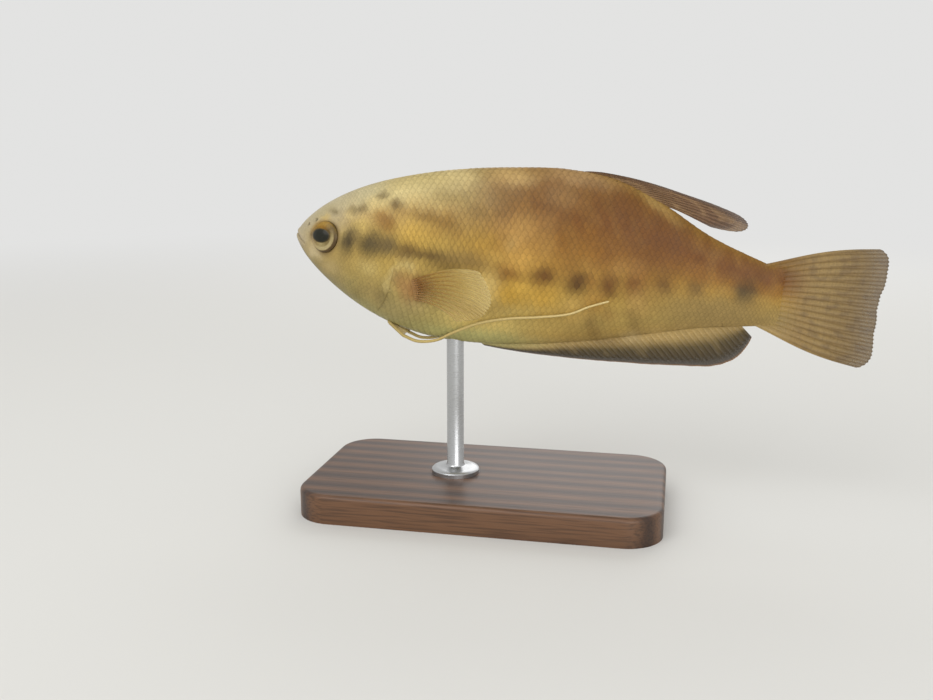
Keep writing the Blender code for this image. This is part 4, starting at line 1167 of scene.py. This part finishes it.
median_film = fin_surface("tinted_resin_fin", 16.0)
clear_film = fin_surface("clear_resin_fin", 30.0)


def fin_tones(out, rays_up, tones, ray_tone, ray_strength):
    """Film colour from the root to the edge, with the rays in a tone of their own."""
    rays = ray_strength * rays_up * ease((out - 0.02) / 0.1)
    return mixed(tone_ramp(tones, out), linear(ray_tone), rays) * VARNISH


def film_body(out, rays_up, film, root=ROOT_FLESH):
    """Opacity: the rays and the fleshy root are solid, the film lets light through."""
    solid = np.maximum(ease((rays_up - 0.30) / 0.5), ease((root - out) / root))
    return np.clip(lerp(film, 1.0, solid), 0.0, 1.0) * (1.0 - 0.25 * ease((out - 0.7) / 0.3))


def finish_fin(piece, colours, opacity, node, film):
    paint(piece, colours)
    store(piece, opacity, "body")
    finish_piece(piece, [node], film)


# %% [markdown]
# The dorsal fin is short and half folded: its rays sweep back over the falling back. The anal
# fin is the longest, with forty-six rays from the belly to the root of the tail, a dark
# margin and a thin orange edge. The tail fin is a fan with a shallow notch; it is hidden in
# the photograph, so its outline and its rows of soft spots come from the species.

# %% Dorsal, anal and tail fin shapes
DORSAL_ROOT, DORSAL_RAYS = (0.600, 0.775), 17
ANAL_ROOT, ANAL_RAYS = (0.425, 0.965), 46
ANAL_CORNER, ANAL_CORNER_START = 0.66, 0.76
CAUDAL_RAYS, CAUDAL_LENGTH, CAUDAL_FORK = 16, 0.250, 0.024
CAUDAL_CORNER, CAUDAL_BOW, CAUDAL_MARGIN = 0.13, 0.011, 0.03
CAUDAL_SPREAD = math.radians(16.0)

dorsal_length = smooth_table([(0.0, 0.045), (0.4, 0.125), (0.72, 0.225), (0.88, 0.190),
                              (1.0, 0.110)])
dorsal_angle = smooth_table([(0.0, 2.0), (0.4, -5.0), (0.8, -12.0), (1.0, -20.0)])
anal_sweep = smooth_table([(0.0, 0.018), (0.3, 0.045), (0.8, 0.075), (1.0, 0.085)])
anal_edge = smooth_table([(0.40, -0.184), (0.50, -0.189), (0.62, -0.187), (0.74, -0.180),
                          (0.86, -0.169), (0.96, -0.155), (1.06, -0.132)])


def dorsal_middle(place, out):
    root = lerp(*DORSAL_ROOT, place)
    reach = dorsal_length(place) * out * STANDARD_LENGTH
    angle = np.radians(dorsal_angle(place))
    z = ridge_height(root * STANDARD_LENGTH, 0.0, below=False) - SEAT_DEPTH * (1.0 - out) ** 6
    return upright(root * STANDARD_LENGTH + reach * np.cos(angle), z + reach * np.sin(angle))


def anal_middle(place, out):
    root = lerp(*ANAL_ROOT, place)
    tip = root + anal_sweep(place)
    start = ridge_height(root * STANDARD_LENGTH, 0.0, below=True) + SEAT_DEPTH
    corner = np.clip((place - ANAL_CORNER_START) / (1.0 - ANAL_CORNER_START), 0.0, 1.0)
    reach = out * (1.0 - ANAL_CORNER * corner ** 2)
    return upright(lerp(root, tip, reach) * STANDARD_LENGTH,
                   lerp(start, anal_edge(tip) * STANDARD_LENGTH, reach))


def caudal_middle(place, out):
    top, bottom = section(1.0)[:2]
    side = 1.0 - 2.0 * place
    length = (CAUDAL_LENGTH - CAUDAL_FORK * np.cos(math.pi / 2 * side)) * STANDARD_LENGTH
    length = length * (1.0 - CAUDAL_CORNER * np.abs(side) ** 6)
    angle = CAUDAL_SPREAD * side
    bow = CAUDAL_BOW * STANDARD_LENGTH * side * np.sin(math.pi * out)
    x = STANDARD_LENGTH - 1.5 * SEAT_DEPTH * (1.0 - out) ** 6 + np.cos(angle) * length * out
    root = lerp(top, bottom, lerp(CAUDAL_MARGIN, 1.0 - CAUDAL_MARGIN, place))
    return upright(x, root + np.sin(angle) * length * out + bow)


def body_tones(middle, place, out):
    """The body's markings carried on over a fin."""
    own = middle(place, out) / STANDARD_LENGTH
    return body_colour(np.minimum(own[:, 0], 1.0 + TAIL_FLESH), own[:, 2],
                       np.zeros(len(own), dtype=bool))


# %% Dorsal, anal and tail fins
dorsal, place, out, rays_up = fin_piece(
    "dorsal_fin_rays", DORSAL_RAYS, 30, 0.55, dorsal_middle, straight_across,
    root=0.0016, ray=0.00065, film=0.00022)
tones = fin_tones(out, rays_up, [(0.0, "#8A6A42"), (0.15, "#7E5E3E"), (0.6, "#77563C"),
                                 (1.0, "#684E3A")], "#432F22", 0.75)
spots = ease((lumps(place * 0.5, out, 0.07, 5.5) - 0.15) / 0.3)
finish_fin(dorsal, mixed(tones, linear("#A08058"), 0.4 * spots), film_body(out, rays_up, 0.88),
           "dorsal_fin", median_film)

anal, place, out, rays_up = fin_piece(
    "anal_fin_rays", ANAL_RAYS, 22, 0.62, anal_middle, straight_across,
    root=0.0013, ray=0.0006, film=0.00022)
tones = fin_tones(out, rays_up, [(0.0, "#8E7234"), (0.25, "#6E5A2C"), (0.6, "#4E4022"),
                                 (0.88, "#372C18"), (0.955, "#382A16"), (0.975, "#9A6228"),
                                 (1.0, "#AC7432")], "#3A2D16", 0.5)
bars = ease((lumps(place * 4.0, 0.35 * (place * 8.0 + out), 0.16, 2.9) - 0.05) / 0.35)
tones = mixed(tones, linear("#8C7648"), 0.24 * bars * ease((0.9 - out) / 0.4))
fleshy = lerp(0.52, 0.12, ease((place - 0.06) / 0.34))
finish_fin(anal, mixed(body_tones(anal_middle, place, out), tones, ease((out - fleshy) / 0.42)),
           film_body(out, rays_up, 0.9), "anal_fin", median_film)

caudal, place, out, rays_up = fin_piece(
    "caudal_fin_rays", CAUDAL_RAYS, 44, 0.35, caudal_middle, straight_across,
    root=0.0015, ray=0.0007, film=0.00022)
tones = fin_tones(out, rays_up, [(0.0, "#8A6C3E"), (0.12, "#98794A"), (0.5, "#9C8150"),
                                 (1.0, "#7C6644")], "#5F4626", 0.60)
spots = ease((lumps(place * 1.2, out, 0.085, 6.1) - 0.05) / 0.35)
tones = mixed(tones, linear("#54402A"), 0.34 * spots)
finish_fin(caudal, mixed(body_tones(caudal_middle, place, out), tones, ease((out - 0.12) / 0.30)),
           film_body(out, rays_up, 0.85), "caudal_fin", median_film)

# %% [markdown]
# The pectoral fin stands away from the flank behind the gill cover, so thin that only its
# rays show well, brown at the root and pale at the edge. The pelvic fin is tiny, and its first
# ray runs on as a long pale feeler that trails under the belly and up along the flank.

# %% Pectoral and pelvic fins
PECTORAL_ROOT = ((0.284, -0.056), (0.294, -0.096))
PECTORAL_RAYS, PECTORAL_LENGTH = 10, 0.295 * STANDARD_LENGTH
PECTORAL_OUT = math.radians(38.0)
PECTORAL_TOP, PECTORAL_LOW = math.radians(27.0), math.radians(5.0)
PECTORAL_CUP, PECTORAL_DROOP = 0.0035, 0.0110
PELVIC_ROOT, PELVIC_RAYS = ((0.227, -0.159), (0.250, -0.166)), 3
PELVIC_SHORT = (0.276, -0.176)          # the tip of its last ray
THREAD_CLEAR, THREAD_SIDE = 0.0011, 0.0035
THREAD_RADIUS = (0.00060, 0.00030)
# station, level and extra metres away from the flank
THREAD_ROUTE = [(0.266, -0.186, 0.000), (0.300, -0.194, 0.000), (0.342, -0.184, 0.001),
                (0.385, -0.155, 0.001), (0.440, -0.126, 0.000), (0.500, -0.108, 0.000),
                (0.560, -0.097, 0.000), (0.620, -0.083, 0.000), (0.660, -0.062, 0.000),
                (0.700, -0.044, 0.001)]

pectoral_length = smooth_table([(0.0, 0.92), (0.25, 1.0), (0.6, 0.90), (1.0, 0.58)])


def on_side(root_ends, place, depth):
    """Points along a fin's root on the left flank, sunk by a depth."""
    (x0, z0), (x1, z1) = root_ends
    x, z = lerp(x0, x1, place) * STANDARD_LENGTH, lerp(z0, z1, place) * STANDARD_LENGTH
    return np.stack([x, -flank(x, z) + depth, z], axis=-1)


def pectoral_across(place, out):
    return np.tile((math.sin(PECTORAL_OUT), math.cos(PECTORAL_OUT), 0.0), (len(place), 1))


def pectoral_middle(place, out):
    root = on_side(PECTORAL_ROOT, place, SEAT_DEPTH * np.maximum(0.0, 1.0 - out * 12.0))
    angle = lerp(PECTORAL_TOP, PECTORAL_LOW, place)
    reach = pectoral_length(place) * PECTORAL_LENGTH * out
    back = reach * np.cos(angle)
    up = reach * np.sin(angle) - PECTORAL_DROOP * (reach / PECTORAL_LENGTH) ** 2
    cup = PECTORAL_CUP * out ** 2
    swept = np.stack([back * math.cos(PECTORAL_OUT), -back * math.sin(PECTORAL_OUT), up], axis=-1)
    return root + swept - pectoral_across(place, out) * cup[:, None]


def thread_knots():
    """The feeler's route beside the flank, but never nearer to the middle than its side."""
    stations, levels, extra = np.array(THREAD_ROUTE).T
    x, z = stations * STANDARD_LENGTH, levels * STANDARD_LENGTH
    return np.stack([x, -np.maximum(flank(x, z) + THREAD_CLEAR, THREAD_SIDE) - extra, z], axis=-1)


knots = thread_knots()
knot_places = np.linspace(0.0, 1.0, len(knots))
thread_axes = [smooth_table(list(zip(knot_places, knots[:, axis]))) for axis in range(3)]


def thread_point(t):
    return np.stack([axis(t) for axis in thread_axes], axis=-1)


def pelvic_middle(place, out):
    root = on_side(PELVIC_ROOT, place, SEAT_DEPTH * np.maximum(0.0, 1.0 - out * 6.0))
    end = thread_point(0.0)
    short_x, short_z = (value * STANDARD_LENGTH for value in PELVIC_SHORT)
    tip = lerp(end, np.array([short_x, end[1], short_z]), place[:, None])
    return lerp(root, tip, out[:, None])


def pelvic_across(place, out):
    return np.tile(unit(np.array([0.25, 0.97, 0.0])), (len(place), 1))


def mirror_points(piece):
    """Turn a finished left piece into its right twin."""
    own = np.empty(len(piece.data.vertices) * 3)
    piece.data.vertices.foreach_get("co", own)
    set_points(piece, own.reshape(-1, 3) * (1, -1, 1))
    face_outwards(piece)


for side_name in ("left", "right"):
    pectoral, place, out, rays_up = fin_piece(
        f"pectoral_rays_{side_name}", PECTORAL_RAYS, 40, 0.45, pectoral_middle, pectoral_across,
        root=0.0015, ray=0.00055, film=0.00016)
    tones = fin_tones(out, rays_up, [(0.0, "#B48C60"), (0.05, "#AC8052"), (0.12, "#946436"),
                                     (0.20, "#9A6E38"), (0.34, "#BC9850"), (0.6, "#CFB36C"),
                                     (1.0, "#E2CC92")], "#8E6628",
                      0.80 - 0.66 * ease((out - 0.45) / 0.35))
    upper = 1.0 - ease((place - 0.40) / 0.35)
    tones = mixed(tones, linear("#B08A50"), 0.45 * (1.0 - upper) * ease((0.40 - out) / 0.30))
    tones = mixed(tones, linear("#A88A4C"), 0.65 * (1.0 - upper) * ease((out - 0.40) / 0.30))
    opacity = film_body(out, rays_up, 0.16 + 0.36 * out * upper, root=0.12)
    pelvic, place, out, rays_up = fin_piece(
        f"pelvic_rays_{side_name}", PELVIC_RAYS, 16, 0.9, pelvic_middle, pelvic_across,
        root=0.0012, ray=0.00075, film=0.0003)
    if side_name == "right":
        mirror_points(pectoral)
        mirror_points(pelvic)
    finish_fin(pectoral, tones, opacity, f"pectoral_fin_{side_name}", clear_film)
    tones = fin_tones(out, rays_up, [(0.0, "#9A8856"), (1.0, "#B79F66")], "#8C7442", 0.6)
    finish_fin(pelvic, tones, film_body(out, rays_up, 0.75), f"pelvic_fin_{side_name}", clear_film)

# %% Feelers
FEELER_STEPS = 170
FEELER_LEAD = 0.10                      # share of the feeler that runs in the fin's front edge
FEELER_START, FEELER_END = 0.02, 0.01   # shares of its length that are rounded off
FEELER_JOINTS, JOINT_RISE = 60, 0.06
FEELER_TONES = [(0.0, "#A38F58"), (0.3, "#BFA868"), (1.0, "#CDB880")]
feeler_paint = painted_surface("painted_wire_feeler", SKIN_GRAIN, 0.00003, 0.42, 0.05, 0.15)


def feeler_point(t):
    """The feeler's axis: down the front edge of the pelvic fin, then along the thread."""
    t = np.clip(t, 0.0, 1.0)
    lead = t / FEELER_LEAD
    after = np.clip((t - FEELER_LEAD) / (1.0 - FEELER_LEAD), 0.0, 1.0)
    root = on_side(PELVIC_ROOT, np.zeros_like(t), 0.0)
    start = thread_point(np.zeros_like(t))
    return np.where((t < FEELER_LEAD)[:, None], lerp(root, start, lead[:, None]),
                    thread_point(after))


def round_off(left, length):
    """Half circle that ends a thread, by the share of the thread left to its end."""
    return np.sqrt(1.0 - np.clip(1.0 - left / length, 0.0, 1.0) ** 2)


for side_name in ("left", "right"):
    feeler, around, along = sphere_to_shape(f"feeler_{side_name}", 14, FEELER_STEPS)
    t = np.clip(along, 0.0, 1.0)
    ahead = unit(feeler_point(t + 0.01) - feeler_point(t - 0.01))
    wide = unit(np.cross(ahead, [0.0, 0.0, 1.0]))
    high = np.cross(wide, ahead)
    joints = 1.0 + JOINT_RISE * np.sin(t * 2 * math.pi * FEELER_JOINTS)
    radius = lerp(*THREAD_RADIUS, t) * joints \
        * round_off(t, FEELER_START) * round_off(1.0 - t, FEELER_END)
    spin = around * 2.0 * math.pi
    points = feeler_point(t) + wide * (np.cos(spin) * radius)[:, None] \
        + high * (np.sin(spin) * radius)[:, None]
    if side_name == "right":
        points = points * (1, -1, 1)
    set_points(feeler, on_stand(points))
    face_outwards(feeler)
    paint(feeler, tone_ramp(FEELER_TONES, t))
    finish_piece(feeler, [f"pelvic_thread_{side_name}_front",
                                 f"pelvic_thread_{side_name}_rear"], feeler_paint)

# %% [markdown]
# The stand. A plain board of dark oiled walnut with rounded corners and an eased top edge
# starts as a cube, whose upright edges and then its top edge are bevelled in edit mode. The
# rod is brushed stainless steel: a cylinder whose top face is extruded into the rod and whose
# foot is a low turned flange. The rod's top follows the belly that it carries.

# %% Stand base
BASE_LENGTH, BASE_WIDTH, BASE_THICKNESS = 0.124, 0.068, 0.010
BASE_CORNER, BASE_BEVEL = 0.013, 0.0016
BASE_FOLD = math.radians(35.0)


def select_where(piece, kind, chosen):
    """In edit mode, select the edges or faces whose corners pass a test."""
    to_mode('EDIT')
    bpy.ops.mesh.select_mode(type=kind)
    bpy.ops.mesh.select_all(action='DESELECT')
    to_mode('OBJECT')
    for item in piece.data.edges if kind == 'EDGE' else piece.data.polygons:
        item.select = chosen([piece.data.vertices[k].co.z for k in item.vertices])
    to_mode('EDIT')


bpy.ops.mesh.primitive_cube_add(size=1.0, location=(0.0, 0.0, BASE_THICKNESS / 2))
base = name_new("stand_board")
base.scale = (BASE_LENGTH, BASE_WIDTH, BASE_THICKNESS)
bpy.ops.object.transform_apply(location=True, rotation=True, scale=True)
select_where(base, 'EDGE', lambda heights: max(heights) - min(heights) > BASE_THICKNESS / 2)
bpy.ops.mesh.bevel(offset=BASE_CORNER, segments=16, profile=0.5)
select_where(base, 'EDGE', lambda heights: min(heights) > BASE_THICKNESS * 0.9)
bpy.ops.mesh.bevel(offset=BASE_BEVEL, segments=5, profile=0.5)
to_mode('OBJECT')
face_outwards(base, fold=BASE_FOLD)

walnut, tree, shader = new_material("oiled_walnut")
# walnut grain runs along the board: rings about 4 mm apart, pores under 1 mm wide
place = object_place(tree)
stretched = add_node(tree, "ShaderNodeMapping", Vector=place, Scale=(0.07, 1.0, 1.0))
sway = add_node(tree, "ShaderNodeTexNoise", Vector=stretched.outputs["Vector"], Scale=45.0,
                Detail=3.0)
bent = add_node(tree, "ShaderNodeVectorMath", {"operation": 'MULTIPLY_ADD'},
                _0=sway.outputs["Color"], _1=(0.010, 0.010, 0.010), _2=stretched.outputs["Vector"])
rings = add_node(tree, "ShaderNodeTexWave", {"bands_direction": 'Y'}, Scale=38.0,
                 Vector=bent.outputs["Vector"], Distortion=2.5, Detail=2.0)
ramp = add_node(tree, "ShaderNodeValToRGB", Fac=rings.outputs["Fac"])
ramp.color_ramp.elements[0].color = rgba("#3B271A")
ramp.color_ramp.elements[1].color = rgba("#65452C")
pore_place = add_node(tree, "ShaderNodeMapping", Vector=place, Scale=(0.035, 1.0, 1.0))
pores = add_node(tree, "ShaderNodeTexNoise", Vector=pore_place.outputs["Vector"], Scale=1500.0,
                 Detail=2.0)
pore_dark = ranged(tree, pores.outputs["Fac"], (0.35, 0.55), (0.62, 1.05))
set_inputs(tree, shader, Base_Color=shaded(tree, ramp.outputs["Color"], pore_dark),
           Normal=bumped(tree, pore_dark, 0.4, 0.00012), Roughness=0.42)
finish_piece(base, ["stand_base"], walnut)

# %% Stand rod
ROD_RADIUS, ROD_FOOT_RADIUS, ROD_FOOT_HEIGHT = 0.0030, 0.0085, 0.0013
ROD_SINK = 0.0002                       # the rod's top reaches this far into the skin
ROD_FOLD = math.radians(30.0)

# radius and height over the board of each turned ring, from the top of the flange's edge up
ROD_PROFILE = [(ROD_FOOT_RADIUS, ROD_FOOT_HEIGHT), (ROD_FOOT_RADIUS - 0.0003, 0.0017),
               (ROD_FOOT_RADIUS - 0.0009, 0.0020), (ROD_FOOT_RADIUS - 0.0020, 0.0022),
               (ROD_RADIUS + 0.0010, 0.0024), (ROD_RADIUS + 0.0004, 0.0027), (ROD_RADIUS, 0.0034)]


def belly_under(x, y):
    """Height of the belly's skin above a place on the floor."""
    height = BELLY_HEIGHT
    back = FISH.inverted()
    for _ in range(20):
        inside = back @ Vector((x, y, height))
        height += (float(ridge_height(inside.x, y, below=True)) - inside.z) * math.cos(PITCH)
    return height


def extrude_up(rise):
    bpy.ops.mesh.extrude_region_move(TRANSFORM_OT_translate={"value": (0.0, 0.0, rise)})


foot_middle = BASE_THICKNESS + ROD_FOOT_HEIGHT / 2
bpy.ops.mesh.primitive_cylinder_add(vertices=48, radius=ROD_FOOT_RADIUS, depth=ROD_FOOT_HEIGHT,
                                    location=(ROD_PLACE, 0.0, foot_middle))
rod = name_new("stand_post")
bpy.ops.object.transform_apply(location=True, rotation=True, scale=True)
select_where(rod, 'FACE', lambda heights: min(heights) > foot_middle)
for (radius, height), (next_radius, next_height) in zip(ROD_PROFILE, ROD_PROFILE[1:]):
    extrude_up(next_height - height)
    bpy.ops.transform.resize(value=(next_radius / radius, next_radius / radius, 1.0),
                             center_override=(ROD_PLACE, 0.0, BASE_THICKNESS + next_height))
rod_top = belly_under(ROD_PLACE, 0.0)
for _ in range(2):
    extrude_up((rod_top - BASE_THICKNESS - ROD_PROFILE[-1][1]) / 2)
to_mode('OBJECT')
for vertex in rod.data.vertices:
    if vertex.co.z > rod_top - MM:
        vertex.co.z = belly_under(vertex.co.x, vertex.co.y) + ROD_SINK
face_outwards(rod, fold=ROD_FOLD)

steel, tree, shader = new_material("brushed_stainless_steel")
# turned and brushed round the rod: scratches a tenth of a millimetre apart, drawn at 0.3 mm
brushed = add_node(tree, "ShaderNodeMapping", Vector=object_place(tree), Scale=(0.05, 0.05, 1.0))
scratch = noise_of(tree, brushed.outputs["Vector"], 0.0003)
set_inputs(tree, shader, Base_Color=rgba("#B9BABB"), Metallic=1.0,
           Roughness=ranged(tree, scratch, (0.3, 0.7), (0.24, 0.40)),
           Normal=bumped(tree, scratch, 0.25, 0.00003))
finish_piece(rod, ["stand_rod"], steel)

# %% [markdown]
# Floor and light. The model stands on a plain pale floor that runs on into a pale surround: far
# out the paint gives way to a glow of the surround's own colour, so no horizon shows. A broad
# soft light hangs above and ahead of the fish's left side, a second fills the belly from below
# the camera, and a third keeps the far side readable in the other views.

# %% Floor and light
SURROUND, SURROUND_GLOW = "#E8E8E7", 0.95
FLOOR_CLEAR, FLOOR_FADE = 0.30, 1.1     # metres from the stand where the fade starts and ends
LIGHTS_AIM = Vector((0.0, 0.0, 0.06))

bpy.ops.mesh.primitive_plane_add(size=8.0, location=(0.0, 0.0, 0.0))
floor = name_new("studio_floor")
floor_paint, tree, shader = new_material("matt_floor_paint")
away = add_node(tree, "ShaderNodeVectorMath", {"operation": 'LENGTH'}, _0=object_place(tree))
fade = add_node(tree, "ShaderNodeMapRange", {"interpolation_type": 'SMOOTHSTEP'},
                Value=away.outputs["Value"], From_Min=FLOOR_CLEAR, From_Max=FLOOR_FADE)
glow = add_node(tree, "ShaderNodeEmission", Color=rgba(SURROUND), Strength=SURROUND_GLOW)
both = add_node(tree, "ShaderNodeMixShader", _0=fade.outputs["Result"],
                _1=shader.outputs["BSDF"], _2=glow.outputs["Emission"])
set_inputs(tree, tree.nodes["Material Output"], Surface=both.outputs["Shader"])
set_inputs(tree, shader, Base_Color=rgba("#D6D5D1"), Roughness=0.9)
floor.data.materials.append(floor_paint)

# name, place, size in metres, power in watts
LIGHTS = [
    ("key_light", (-0.35, -0.75, 0.75), 0.70, 3.8),
    ("fill_light", (0.40, -0.80, 0.16), 0.60, 3.0),
    ("far_light", (0.10, 0.90, 0.60), 0.80, 2.6),
]
for name, place, size, power in LIGHTS:
    bpy.ops.object.light_add(type='AREA', location=place)
    light = bpy.context.object
    light.name = name
    light.data.size = size
    light.data.energy = power
    light.rotation_euler = (LIGHTS_AIM - Vector(place)).to_track_quat('-Z', 'Y').to_euler()

world = bpy.data.worlds.new("pale_surround")
bpy.context.scene.world = world
world.use_nodes = True
set_inputs(world.node_tree, world.node_tree.nodes["Background"], Color=rgba(SURROUND),
           Strength=SURROUND_GLOW)
bpy.context.scene.view_settings.view_transform = 'Standard'
print("lights:", len(LIGHTS))
